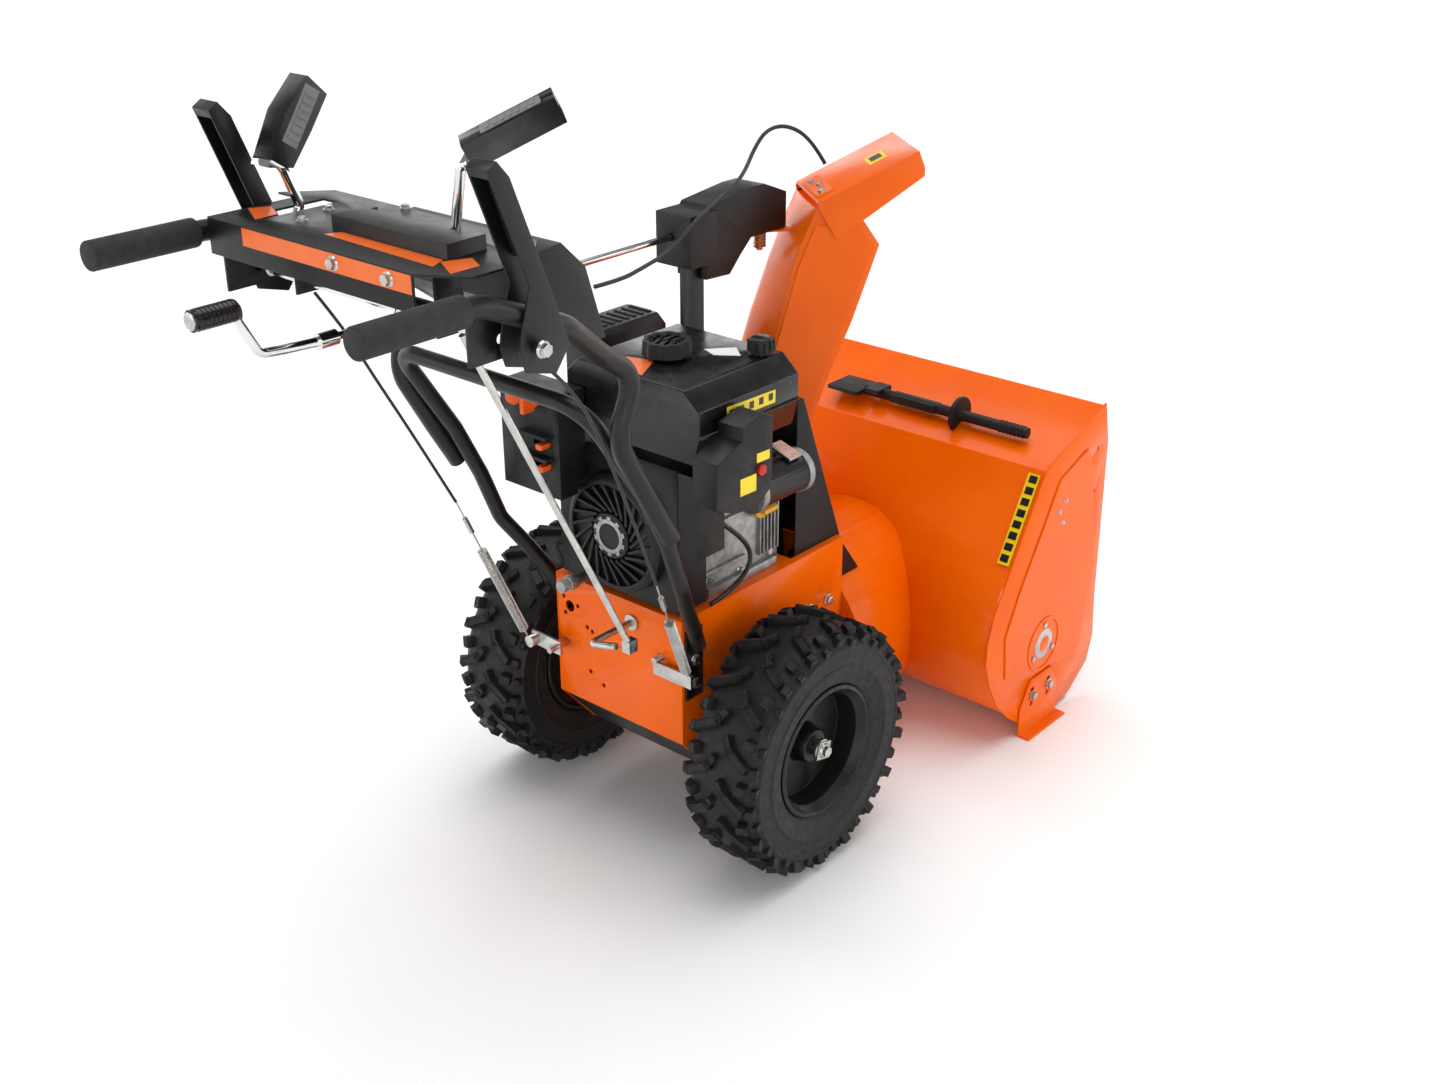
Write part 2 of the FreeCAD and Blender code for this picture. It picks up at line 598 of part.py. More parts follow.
def belt(x, radius_1, z_1, radius_2, z_2):
    """A closed belt round two pulleys on parallel shafts."""
    gap = dim("belt_gap")
    thick = dim("belt_thick")

    def loop(extra):
        large = radius_2 + gap + extra
        small = radius_1 + gap + extra
        lean = math.asin((large - small) / (z_1 - z_2))
        ends = []
        for side in (-1, 1):
            out = Vector(0, side * math.cos(lean), math.sin(lean))
            ends.append((Vector(x, 0, z_2) + out * large, Vector(x, 0, z_1) + out * small))
        (low_right, high_right), (low_left, high_left) = ends
        bottom = Vector(x, 0, z_2 - large)
        top = Vector(x, 0, z_1 + small)
        return Part.Face(Part.Wire([
            Part.Arc(low_left, bottom, low_right).toShape(), Part.LineSegment(low_right,
                                                                              high_right).toShape(),
            Part.Arc(high_right, top, high_left).toShape(), Part.LineSegment(high_left,
                                                                             low_left).toShape()]))

    return loop(thick).cut(loop(0)).extrude(Vector(dim("belt_width"), 0, 0))


def build_belt_drive():
    crank = dim("crank_height")
    hex_z = dim("wheel_radius") + dim("hex_rise")
    traction = belt(dim("traction_x") + 2, dim("crank_small"), crank, dim("traction_pulley"), hex_z)
    auger_loop = belt(dim("auger_belt_x") + 3, dim("crank_large"), crank, dim("auger_pulley"),
                      dim("impeller_height"))
    keep("drive_belts", group(shaped(traction), shaped(auger_loop)))

    stub = rod("crank_radius", "auger_belt_x + pulley_width - 131", ("131", "0", "crank_height"), "+x")
    small = rod("crank_small", "pulley_width - 2", ("traction_x", "0", "crank_height"), "+x")
    large = rod("crank_large", "pulley_width", ("auger_belt_x", "0", "crank_height"), "+x")
    keep("crank_pulley", join(stub, small, large))

    arm_shaft = rod("5", "auger_belt_x + pulley_width + 152", ("-145", "-86", "327"), "+x")
    lever = box(("5", "70", "20"), ("-140", "-150", "303"))
    idler_arm = box(("6", "14", "52"), ("auger_belt_x + 21", "-93", "322"))
    idler = rod("16", "16", ("auger_belt_x + 1", "-86", "370"), "+x")
    idler_pin = rod("4", "25", ("auger_belt_x + 1", "-86", "370"), "+x")
    keep("auger_clutch_arm", join(arm_shaft, lever, idler_arm, idler, idler_pin))

    arm_shaft = rod("5", "60", ("-165", "104", "284"), "+x")
    lever = box(("5", "60", "22"), ("-151", "95", "273"))
    roller = rod("9", "14", ("-165", "146", "284"), "+x")
    keep("traction_clutch_arm", join(arm_shaft, lever, roller))

    rear = [("138", "637"), ("152", "637"), ("252", "379"), ("302", "313"), ("268", "288"), ("222", "361"),
            ("180", "337"), ("160", "337"), ("131", "345"), ("138", "377")]
    core = [("120", "640"), ("148", "640"), ("247", "380"), ("297", "315"), ("310", "200"), ("120", "200")]
    outer = prism("XZ", rear, "60", "170")
    inner = prism("XZ", core, "57", "166")
    over_drum = rod("drum_radius + 2", "100", ("frame_front - 3", "0", "impeller_height"), "+x")
    round_spout = rod("outlet_radius + 8", "300", ("outlet_x", "outlet_y", "200"), "+z")
    keep("belt_cover", cut(outer, inner, over_drum, round_spout))


# ---------------------------------------------------------------- engine

def build_engine():
    crankcase = box(("175", "170", "150"), ("-62", "-96", "frame_top + 0.2"))
    barrel = box(("110", "100", "110"), ("-40", "60", "500"))
    head = box(("90", "34", "130"), ("-30", "150", "490"))
    shelf = box(("150", "120", "40"), ("-60", "-60", "540"))
    feet = box(("150", "196", "14"), ("-50", "-106", "frame_top + 0.2"))
    drain = rod("9", "120", ("-60", "58", "frame_top + 15"), "-x")
    drain_cap = rod("11", "14", ("-152", "58", "frame_top + 15"), "-x")
    shaft_hole = rod("crank_radius + 1", "40", ("100", "0", "crank_height"), "+x")
    dip_bore = rod("9.05", "60", ("60", "-70", "500"), "-y")
    keep("engine_block", cut(join(crankcase, barrel, head, shelf, feet, drain, drain_cap), shaft_hole,
                             dip_bore))

    case = box(("58", "2 * shroud_half", "214"), ("-121", "-shroud_half", "frame_top + 5"))
    wing = box(("56", "40", "120"), ("-120", "-shroud_half - 34", "490"))
    void = box(("46", "2 * shroud_half - 10", "200"), ("-110", "-shroud_half + 5", "frame_top + 12"))
    mouth = rod("recoil_radius - 12", "40", ("-130", "-8", "crank_height + 5"), "+x")
    drain_hole = rod("12", "80", ("-130", "58", "frame_top + 15"), "+x")
    keep("blower_shroud", cut(join(case, wing), void, mouth, drain_hole))

    cup = rod("recoil_radius", "16", ("-121.2", "-8", "crank_height + 5"), "-x")
    nose = cone("recoil_radius", "recoil_radius - 10", "8", ("-137.2", "-8", "crank_height + 5"), "-x")
    room = rod("recoil_radius - 10", "14", ("-121", "-8", "crank_height + 5"), "-x")
    keep("recoil_cover", cut(join(cup, nose), room))

    outline = [("-tank_right", "tank_seam + 4"), ("-tank_right", "tank_top - 24"),
               ("-tank_right + 28", "tank_top"),
               ("tank_left - 20", "tank_top"), ("tank_left", "tank_top - 20"),
               ("tank_left", "tank_seam + 4"),
               ("tank_left + 4", "tank_seam + 4"), ("tank_left + 4", "tank_seam"),
               ("tank_left", "tank_seam"),
               ("tank_left - 14", "tank_low"), ("-tank_right + 10", "tank_low"),
               ("-tank_right", "tank_seam"),
               ("-tank_right - 4", "tank_seam"), ("-tank_right - 4", "tank_seam + 4")]
    tank = prism("YZ", outline, "-tank_rear", "tank_front + tank_rear")
    neck = rod("24", "10", ("-42", "-25", "tank_top - 4"), "+z")
    knob = cone("17", "15", "24", ("52", "-112", "tank_top - 2"), "+z")
    keep("fuel_tank", join(tank, neck, knob))

    skirt = rod("cap_radius", "20", ("-42", "-25", "tank_top + 5"), "+z")
    hollow = rod("24.3", "10", ("-42", "-25", "tank_top + 2"), "+z")
    keep("fuel_cap", cut(skirt, hollow))

    guard = [("36", "560"), ("36", "muffler_top - 16"), ("50", "muffler_top"), ("170", "muffler_top"),
             ("188", "muffler_top - 22"), ("188", "560")]
    keep("muffler_guard", prism("XZ", guard, "muffler_left", "muffler_left - muffler_right - 34"))

    panel = box(("50", "112", "150"), ("-182", "46", "545"))
    saddle = box(("11", "76", "30"), ("-133", "70", "600"))
    ledges = [box(("14", "52", "5"), ("-196", "58", level)) for level in ("632", "600")]
    primer_hole = rod("12.5", "12", ("-183", "126", "679"), "+x")
    key_hole = rod("8.5", "12", ("-183", "90", "679"), "+x")
    slots = [box(("10", "34", "9"), ("-183", "62", level)) for level in ("617", "585")]
    relief = rod("recoil_radius + 2", "30", ("-149", "-8", "crank_height + 5"), "+x")
    keep("control_panel", cut(join(panel, saddle, *ledges), primer_hole, key_hole, relief, *slots))

    keep("primer_bulb", join(rod("12", "14", ("-188.5", "126", "679"), "+x"),
                             cone("12", "8", "7", ("-188", "126", "679"), "-x")))
    keep("ignition_key", join(rod("8", "14", ("-187", "90", "679"), "+x"),
                              box(("20", "7", "24"), ("-206", "86.5", "667"))))
    keep("choke_slider", box(("22", "12", "8"), ("-198", "64", "617.5")))
    keep("throttle_slider", box(("22", "12", "8"), ("-198", "64", "585.5")))

    base = prism("XZ", [("-110", "575"), ("-150", "590"), ("-150", "655"), ("-104", "672"), ("-58", "664"),
                        ("-40", "590"), ("-70", "570")], "-165", "42")
    lobe = prism("XZ", [("-100", "600"), ("-100", "690"), ("-60", "700"), ("-38", "690"), ("-38", "600")],
                 "-165", "42")
    hole = rod("8", "12", ("-62", "-208", "622"), "+y")
    keep("starter_box", cut(join(base, lobe), hole))
    keep("start_button", rod("7.7", "10", ("-62", "-211", "622"), "+y"))

    barrel = rod("29", "92", ("-12", "-150", "560"), "+x")
    keep("starter_motor", join(barrel, rod("31", "9", ("80", "-150", "560"), "+x"),
                               rod("31", "9", ("-20", "-150", "560"), "+x")))

    cap = join(rod("9", "30", ("60", "-72", "500"), "-y"), rod("17", "10", ("60", "-102", "500"), "-y"),
               box(("30", "18", "7"), ("45", "-128", "496.5")))
    keep("oil_dipstick", cap)


# ---------------------------------------------------------------- chute

def chute_shell():
    """The chute's folded U channel, lofted through level sections; u forward, v left."""
    sheet_thick = dim("chute_sheet")
    half = dim("chute_half")
    levels = [(403.5, -60, -8, 30, half - 6), (450, -60, -12, 47, half - 3), (512, -54, -16, 67, half),
              (600, -35, -2, 98, half), (680, -12, 16, 130, half), (760, 17, 34, 157, half),
              (800, 36, 46, 170, half), (838, 58, 63, 144, half), (859, 68, 72, 92, half)]
    sections = []
    for z, back, fold, front, wide in levels:
        inner = wide - sheet_thick
        outer_arc = Part.Arc(Vector(fold, wide, z), Vector(back, 0, z), Vector(fold, -wide, z))
        inner_arc = Part.Arc(Vector(fold, -inner, z), Vector(back + sheet_thick, 0, z),
                             Vector(fold, inner, z))
        runs = [Part.LineSegment(Vector(front, wide, z), Vector(fold, wide, z)), outer_arc,
                Part.LineSegment(Vector(fold, -wide, z), Vector(front, -wide, z)),
                Part.LineSegment(Vector(front, -wide, z), Vector(front, -inner, z)),
                Part.LineSegment(Vector(front, -inner, z), Vector(fold, -inner, z)), inner_arc,
                Part.LineSegment(Vector(fold, inner, z), Vector(front, inner, z)),
                Part.LineSegment(Vector(front, inner, z), Vector(front, wide, z))]
        sections.append(Part.Wire([run.toShape() for run in runs]))
    return Part.makeLoft(sections, True, True)


def on_chute(shape):
    """Turn and move a shape from the chute's own axes to its place over the outlet."""
    shape.rotate(Vector(), Vector(0, 0, 1), -dim("chute_yaw"))
    shape.translate(Vector(dim("outlet_x"), dim("outlet_y"), 0))
    return shape


def build_chute():
    ring = dim("outlet_radius")
    gap = dim("collar_gap")
    collar = Part.makeCylinder(ring + gap + 3, 26, Vector(0, 0, 378)).cut(
        Part.makeCylinder(ring + gap, 40, Vector(0, 0, 370)))
    floor = Part.makeCylinder(ring + gap + 3, 4, Vector(0, 0, 400)).cut(Part.makeCylinder(ring - 6, 20,
                                                                                          Vector(0, 0,
                                                                                                 390)))
    channel = chute_shell()
    pivot_plate = Part.makeBox(62, 24, 3, Vector(-12, -12, 813))
    pivot_bolt = Part.makeCylinder(5, 44, Vector(0, 0, 784))
    spring = Part.makeCylinder(8, 24, Vector(0, 0, 789.5))
    body = collar.fuse([floor, channel, pivot_plate, pivot_bolt, spring])
    keep("chute", shaped(on_chute(body)))

    half = dim("chute_half") + 3
    thick = 2.5
    side = [Vector(74, 0, 869), Vector(72, 0, 861), Vector(102, 0, 812), Vector(144, 0, 840),
            Vector(234, 0, 901), Vector(234, 0, 914), Vector(224, 0, 938.5)]
    profile = Part.Face(Part.makePolygon(side + [side[0]]))
    hood = profile.extrude(Vector(0, 2 * (half + thick), 0))
    hood.translate(Vector(0, -half - thick, 0))
    room = [Vector(40, 0, 850.4), Vector(40, 0, 780), Vector(260, 0, 780), Vector(260, 0, 952.6)]
    inside = Part.Face(Part.makePolygon(room + [room[0]])).extrude(Vector(0, 2 * half, 0))
    inside.translate(Vector(0, -half, 0))
    hood = hood.cut(inside)
    pin = Part.makeCylinder(dim("hinge_pin"), 2 * (half + thick),
                            Vector(dim("hinge_reach"), -half - thick, dim("hinge_height")), Vector(0, 1, 0))
    keep("deflector_cap", shaped(on_chute(hood.fuse(pin))))

    post = prism("XY", [("post_x - 13", "88"), ("post_x + 13", "88"), ("post_x + 13", "91"),
                        ("post_x - 10", "91"),
                        ("post_x - 10", "112"), ("post_x - 13", "112")], "frame_top + 0.2",
                 "858 - frame_top")
    foot = box(("34", "30", "4"), ("post_x - 17", "87", "frame_top + 0.2"))
    bearing = rod("rod_radius + running_gap", "60", ("post_x - 30", "outlet_y", "rod_height"), "+x")
    keep("pedestal_post", cut(join(post, foot), bearing))

    rear_lobe = box(("60", "66", "76"), ("105", "62", "802"))
    lobe = [("150", "776"), ("203", "773"), ("226", "796"), ("252", "818.5"), ("346", "818.5"),
            ("346", "860"),
            ("335", "872"), ("282", "893"), ("250", "893"), ("160", "883"), ("150", "872")]
    lobes = prism("XZ", lobe, "128", "56")
    reach = join(box(("200", "80", "200"), ("outlet_x - 200", "60", "750")),
                 rod("head_radius + 4", "200", ("outlet_x", "outlet_y", "750"), "+z"))
    trimmed = doc.addObject("Part::Common", fresh("common"))
    trimmed.Base = lobes
    trimmed.Tool = reach
    post_room = box(("32", "32", "100"), ("post_x - 16", "85", "760"))
    rod_room = rod("rod_radius + 1", "80", ("80", "outlet_y", "rod_height"), "+x")
    bolt_room = rod("9", "20", ("outlet_x", "outlet_y", "812"), "+z")
    head = cut(join(rear_lobe, trimmed), post_room, rod_room, bolt_room)
    keep("gear_head", head)

    height = dim("rod_height")
    y = dim("outlet_y")
    crank_rod = bar_between((150, y, height), (-500, y, height), dim("rod_radius"))
    knuckle = bar_between((-512, y, height), (-486, y, height), 10)
    crank = tube_shape([(-505, y, height), (-560, y, height + 3), (-592, y, height + 6),
                        (-622, y, height + 63),
                        (-674, y, height + 64)], 6, 18)
    grip = bar_between((-616, y, height + 62.8), (-676, y, height + 64), 13)
    keep("chute_crank", shaped(crank_rod.fuse(knuckle).fuse(crank).fuse(grip)))

    cable = tube_shape([(-90, 60, 823), (-30, 68, 818), (14, 72, 823), (65, 64, 838), (110, 57, 874),
                        (147, 57, 889),
                        (186, 64, 900)], 3, 40)
    loop = tube_shape([(186, 64, 900), (228, 78, 905), (268, 96, 912), (296, 104, 934), (322, 104, 953),
                       (352, 96, 958), (382, 86, 948), (402, 72, 926), (412, 60, 902)], 3, 40)
    keep("deflector_cable", group(shaped(cable), shaped(loop)))


# ---------------------------------------------------------------- handles and controls

def build_handles():
    bore = dim("leg_radius") - dim("tube_wall")
    leg_y = dim("leg_y")
    right = [(-106, -134.5, 352), (-122, -140, 388), (-150, -leg_y + 22, 434), (-182, -leg_y + 3, 484),
             (-211, -leg_y, 560), (-252, -leg_y, 640), (-345, -leg_y + 6, 778)]
    loop = right + list(reversed(mirrored(right)))
    handle = tube_shape(loop, dim("leg_radius"), 45, bore)
    thick = 4
    feet = []
    for sign in (1, -1):
        face = sign * (dim("frame_half") + 0.2)
        foot = Part.makeBox(34, thick, 108, Vector(-122, min(face, face + sign * thick), 268))
        drills = [Part.makeCylinder(4.3, 400, Vector(along, -200, up), Vector(0, 1, 0)) for along,
                  up in FOOT_BOLTS]
        feet.append(foot.cut(drills))
    keep("lower_handle", shaped(handle.fuse(feet)))

    y = dim("grip_y")
    low_y = leg_y + dim("leg_radius") + dim("tube_radius") + 0.8
    level = dim("grip_height")
    upper = [(-dim("grip_end") + 4, -y, level), (-548, -y, level), (-430, -y, level - 50),
             (-345, -y + 30, 852),
             (-290, -low_y - 2, 812), (-322, -low_y, 738), (-266, -low_y, 640), (-230, -low_y, 580)]
    tube_bore = dim("tube_radius") - dim("tube_wall")
    tubes = [tube_shape(side, dim("tube_radius"), 60, tube_bore) for side in (upper, mirrored(upper))]
    keep("upper_handles", group(shaped(tubes[0]), shaped(tubes[1])))

    grips = []
    for sign in ("", "-"):
        sleeve = rod("grip_radius", "grip_length", ("-grip_end", "%sgrip_y" % sign, "grip_height"), "+x")
        hole = rod("tube_radius + 0.05", "grip_length", ("-grip_end + 4", "%sgrip_y" % sign, "grip_height"),
                   "+x")
        grips.append(cut(sleeve, hole))
    keep("handle_grips", group(*grips))


def build_dash():
    outline = [("-dash_rear", "-150"), ("-530", "-205"), ("-445", "-205"), ("-dash_front", "-150"),
               ("-dash_front", "205"), ("-440", "250"), ("-545", "250"), ("-dash_rear", "215")]
    top = prism("XY", outline, "dash_height - dash_sheet", "dash_sheet")
    lip = box(("3", "365", "44"), ("-dash_rear", "-150", "dash_height - 44"))
    front_lip = box(("3", "355", "30"), ("-dash_front - 3", "-150", "dash_height - 30"))
    gate = box(("104", "26", "20"), ("-528", "shift_y - 13", "dash_height - 10"))
    tower = box(("56", "196", "18"), ("-506", "-138", "dash_height - 1"))
    gate_2 = box(("24", "168", "60"), ("-select_x - 12", "-124", "dash_height - 30"))
    tower_room = box(("46", "186", "14"), ("-501", "-133", "dash_height - 6"))
    notch = box(("dash_rear - 440 + 10", "60", "60"), ("-dash_rear - 10", "clutch_y - 20",
                                                       "dash_height - 50"))
    keep("dash_panel", cut(join(top, lip, front_lip, tower), gate, gate_2, tower_room, notch))

    plates = []
    for level in (-1, 1):
        y = "clutch_y - 24" if level > 0 else "-clutch_y + 20"
        plates.append(box(("90", "4", "60"), ("-550", y, "892")))
    beam = rod("7", "2 * clutch_y - 44", ("-535", "-clutch_y + 22", "940"), "+y")
    hanger = [box(("40", "3", "dash_height - dash_sheet - 899.1"), ("-520", y, "899")) for y in ("118",
                                                                                                 "-130")]
    holes = [rod("5.05", "600", ("-clutch_x", "-300", "clutch_height"), "+y"),
             rod("6.05", "600", ("-shift_x", "-300", "shift_height"), "+y")]
    keep("dash_bracket", cut(join(beam, *plates, *hanger), *holes))

    nose = prism("XZ", [("-386", "960"), ("-330", "966"), ("-292", "930"), ("-262", "836"), ("-300", "836"),
                        ("-386", "900")], "128", "256")
    tunnel = rod("rod_radius + 6", "300", ("-500", "outlet_y", "rod_height"), "+x")
    keep("rod_housing", cut(nose, tunnel))


def clutch_lever(sign):
    """A pressed clutch lever: a channel over the grip whose two cheeks straddle the handle tube."""
    middle = sign * dim("clutch_y")
    pivot = Vector(-dim("clutch_x"), middle, dim("clutch_height"))
    cheek = [Vector(-512, 0, 905), Vector(-505, 0, 884), Vector(-462, 0, 872), Vector(-440, 0, 900),
             Vector(-466, 0, 970), Vector(-514, 0, 1092), Vector(-530, 0, 1110), Vector(-543, 0, 1102),
             Vector(-494, 0, 975), Vector(-508, 0, 930)]
    face = Part.Face(Part.makePolygon(cheek + [cheek[0]]))
    half = dim("tube_radius") + 4
    solid = face.extrude(Vector(0, 2 * half, 0))
    solid.translate(Vector(0, middle - half, 0))
    room = Part.makeBox(140, 2 * half - 6, 150, Vector(-540, middle - half + 3, 850))
    fold = [Vector(-472, 0, 962), Vector(-519, 0, 1092), Vector(-580, 0, 1092), Vector(-580, 0, 962)]
    hollow = Part.Face(Part.makePolygon(fold + [fold[0]])).extrude(Vector(0, 2 * half - 6, 0))
    hollow.translate(Vector(0, middle - half + 3, 0))
    pins = [Part.makeCylinder(5, 12, pivot + Vector(0, turn * (half - 3), 0),
                              Vector(0, turn, 0)) for turn in (1, -1)]
    return solid.cut([room, hollow]).fuse(pins)


def build_levers():
    keep("clutch_lever_right", shaped(clutch_lever(-1)))
    keep("clutch_lever_left", shaped(clutch_lever(1)))

    y = dim("shift_y")
    cross = bar_between((-dim("shift_x"), y + 8, dim("shift_height")),
                        (-dim("shift_x"), -190, dim("shift_height")), 6)
    bar = tube_shape([(-dim("shift_x"), y, dim("shift_height")), (-468, y, 987), (-486, y, 1034),
                      (-500, y, 1050)],
                     6, 10)
    arm = Part.makeBox(88, 5, 16, Vector(-dim("shift_x") - 6, -52, -8))
    arm.rotate(Vector(-dim("shift_x"), 0, 0), Vector(0, 1, 0), 28)
    arm.translate(Vector(0, 0, dim("shift_height")))
    knob = Part.Face(Part.makePolygon([Vector(-517, 0, 1042), Vector(-483, 0, 1036), Vector(-452, 0, 1075),
                                       Vector(-426, 0, 1112), Vector(-450, 0, 1136), Vector(-486, 0, 1100),
                                       Vector(-517, 0, 1042)])).extrude(Vector(0, 34, 0))
    knob.translate(Vector(0, y - 17, 0))
    keep("shift_lever", shaped(cross.fuse([bar, arm, knob])))

    x = -dim("select_x")
    y = -dim("select_y")
    low = (x, y + 17, dim("select_height"))
    bar = tube_shape([low, (x, y, 985), (x, y - 18, 1067), (x + 6, y - 30, 1088)], 6, 12)
    hub = Part.makeCylinder(9, 30, Vector(x - 15, low[1], low[2]), Vector(1, 0, 0)).cut(
        Part.makeCylinder(5.05, 60, Vector(x - 30, low[1], low[2]), Vector(1, 0, 0)))
    section = [Vector(0, -17, -15), Vector(0, 17, -15), Vector(0, 17, 15), Vector(0, -17, 15)]
    knob = Part.Face(Part.makePolygon(section + [section[0]])).extrude(Vector(112, 0, 0))
    knob.Placement = Placement(Vector(x + 2, y - 26, 1084), Rotation(Vector(1, 0, 0),
                                                                     Vector(0.66, -0.58, 0.42)))
    keep("deflector_lever", shaped(bar.fuse([hub, knob])))

    top = (-427, -60, 866)
    low = (-204, -98, 381)
    shaft = bar_between(top, low, 4.5)
    block = Part.makeBox(16, 14, 18, Vector(low[0] - 8, low[1] - 7, low[2] - 9))
    keep("shift_rod", shaped(shaft.fuse([block])))

    arm = tube_shape([(-110, -29, 362), (-212, -29, 362), (-212, -80, 376)], 5, 12)
    washer = Part.makeCylinder(12, 3, Vector(-131, -29, 362), Vector(1, 0, 0))
    keep("shift_arm", shaped(arm.fuse(washer)))


def coil(start, end, radius, wire):
    """A close-wound spring drawn as a tube of its outer size, with a hooked wire at each end."""
    start = Vector(*start)
    end = Vector(*end)
    run = end - start
    reach = run.Length
    barrel = Part.makeCylinder(radius, reach - 24, start + run * (12 / reach), run)
    core = Part.makeCylinder(radius - wire, reach - 24, start + run * (12 / reach), run)
    hooks = Part.makeCylinder(wire / 2, 16, start, run).fuse(Part.makeCylinder(wire / 2, 16, end, run * -1))
    caps = [Part.makeCylinder(radius, wire, start + run * (12 / reach), run),
            Part.makeCylinder(radius, wire, end - run * (12 / reach), run * -1)]
    return barrel.cut(core).fuse(caps + [hooks])


def build_cables():
    drive = tube_shape([(-440, 196, 868), (-392, 206, 805), (-363, 206, 748), (-310, 190, 640),
                        (-262, 172, 534)],
                       2.5, 120)
    auger_line = tube_shape([(-440, -204, 868), (-396, -210, 826), (-352, -210, 740), (-306, -205, 640),
                             (-250, -192, 520)], 2.5, 120)
    harness = tube_shape([(-30, -112, 505), (10, -124, 470), (20, -126, 430), (-20, -124, 404),
                          (-70, -126, 400)],
                         4, 30)
    keep("clutch_cables", group(shaped(drive), shaped(auger_line), shaped(harness)))
    springs = [coil((-262, 172, 534), (-168, 146, 297), 7.5, 2.2),
               coil((-250, -192, 520), (-142, -146, 324), 7.5, 2.2)]
    keep("clutch_springs", group(*[shaped(spring) for spring in springs]))


def build_clean_out_tool():
    """Shovel for clearing the chute, clipped along the fold of the housing's roof."""
    x = 556
    z = 497
    shaft = bar_between((x, -245, z), (x, 70, z), 9)
    roof_lean = math.degrees(math.atan2(63, 166))
    under = Part.makeBox(100, 20, 40, Vector(-50, -127, -40 - 12.5))
    under.rotate(Vector(), Vector(0, 1, 0), -roof_lean)
    under.translate(Vector(x, 0, z))
    guard = Part.makeCylinder(30, 6, Vector(x, -120, z), Vector(0, 1, 0)).cut(under)
    blade = Part.makeBox(62, 62, 7, Vector(x - 31, 66, z - 3.5))
    keep("clean_out_tool", shaped(shaft.fuse([guard, blade])))


def build_fasteners():
    bolts = []
    frame_face = dim("frame_half") + 0.1
    foot_face = dim("frame_half") + 4.3
    side_face = dim("bucket_half") + dim("side_sheet") + 0.1
    shoe_face = side_face + dim("shoe_sheet") + 0.1
    for bolt_set, face, size, length in ((FOOT_BOLTS, foot_face, 8, 8), (SIDE_BOLTS, frame_face, 8, 8),
                                         (SHOE_BOLTS, shoe_face, 8, 8), (BEARING_BOLTS, side_face, 6, 4)):
        for along, up in bolt_set:
            for sign in (1, -1):
                bolts.append(hex_bolt((along, sign * face, up), (0, sign, 0), size, length))
    keep("hex_bolts", group(*[shaped(bolt) for bolt in bolts]))


def check_and_export():
    """Recompute, stop on any failed or invalid piece, and write one STEP file a node."""
    doc.recompute()
    faults = []
    for obj in doc.Objects:
        if "Invalid" in obj.State or "Error" in obj.State:
            faults.append("%s: %s" % (obj.Label, obj.State))
    for obj in nodes:
        shape = obj.Shape
        if shape.isNull() or not shape.isValid():
            faults.append("%s: null or invalid shape" % obj.Label)
    if faults:
        raise RuntimeError("\n".join(faults))
    os.makedirs("parts", exist_ok=True)
    for obj in nodes:
        obj.Shape.exportStep("parts/%s.step" % obj.Label)
        limits = obj.Shape.BoundBox
        print("%-22s solids %2d volume %9.0f  x %7.1f %7.1f  y %7.1f %7.1f  z %7.1f %7.1f" % (
            obj.Label, len(obj.Shape.Solids), obj.Shape.Volume, limits.XMin, limits.XMax, limits.YMin,
                                                                                              limits.YMax,
            limits.ZMin, limits.ZMax))
    print(len(nodes), "nodes")


fill_sheet()
build_running_gear()
build_frame()
build_bucket()
build_auger()
build_belt_drive()
build_engine()
build_chute()
build_handles()
build_dash()
build_levers()
build_cables()
build_clean_out_tool()
build_fasteners()
check_and_export()
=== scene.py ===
# %% [markdown]
# # Dressing a walk-behind snow blower
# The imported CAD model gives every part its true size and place.  This lesson gives
# each part the surface and the small details of the real machine: powder coat on
# pressed steel, moulded plastic, cast aluminium, zinc-plated hardware and rubber.

# %% Load the frame
import json
import math

import bmesh
import bpy
from mathutils import Matrix, Vector


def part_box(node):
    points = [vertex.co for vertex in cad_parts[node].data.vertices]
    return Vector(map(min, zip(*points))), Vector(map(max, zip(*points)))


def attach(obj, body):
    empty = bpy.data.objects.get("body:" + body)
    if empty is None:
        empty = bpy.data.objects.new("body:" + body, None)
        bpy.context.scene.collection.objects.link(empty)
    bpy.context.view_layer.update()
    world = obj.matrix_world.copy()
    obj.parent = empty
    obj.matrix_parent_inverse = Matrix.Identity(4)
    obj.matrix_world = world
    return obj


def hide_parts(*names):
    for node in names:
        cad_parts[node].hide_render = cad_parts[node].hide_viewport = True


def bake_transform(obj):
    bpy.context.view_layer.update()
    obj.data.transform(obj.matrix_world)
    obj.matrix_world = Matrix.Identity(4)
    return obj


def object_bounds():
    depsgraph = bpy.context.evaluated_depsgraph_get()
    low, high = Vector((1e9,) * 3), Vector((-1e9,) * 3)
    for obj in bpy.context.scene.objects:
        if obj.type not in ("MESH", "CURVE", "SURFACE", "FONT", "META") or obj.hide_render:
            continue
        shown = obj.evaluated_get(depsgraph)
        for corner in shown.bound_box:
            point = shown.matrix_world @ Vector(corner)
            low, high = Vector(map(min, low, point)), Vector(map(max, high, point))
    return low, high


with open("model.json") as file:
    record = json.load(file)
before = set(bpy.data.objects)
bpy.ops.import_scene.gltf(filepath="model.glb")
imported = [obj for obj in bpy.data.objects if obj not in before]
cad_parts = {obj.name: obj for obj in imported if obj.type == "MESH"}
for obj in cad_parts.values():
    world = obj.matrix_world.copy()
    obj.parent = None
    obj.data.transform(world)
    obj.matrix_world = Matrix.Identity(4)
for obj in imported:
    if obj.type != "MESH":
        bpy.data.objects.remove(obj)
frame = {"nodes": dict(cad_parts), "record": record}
cad_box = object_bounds()
record = frame["record"]
MM = 0.001
NODE_SLOT = {row["node"]: row["material_slot"] for row in record["subparts"]}
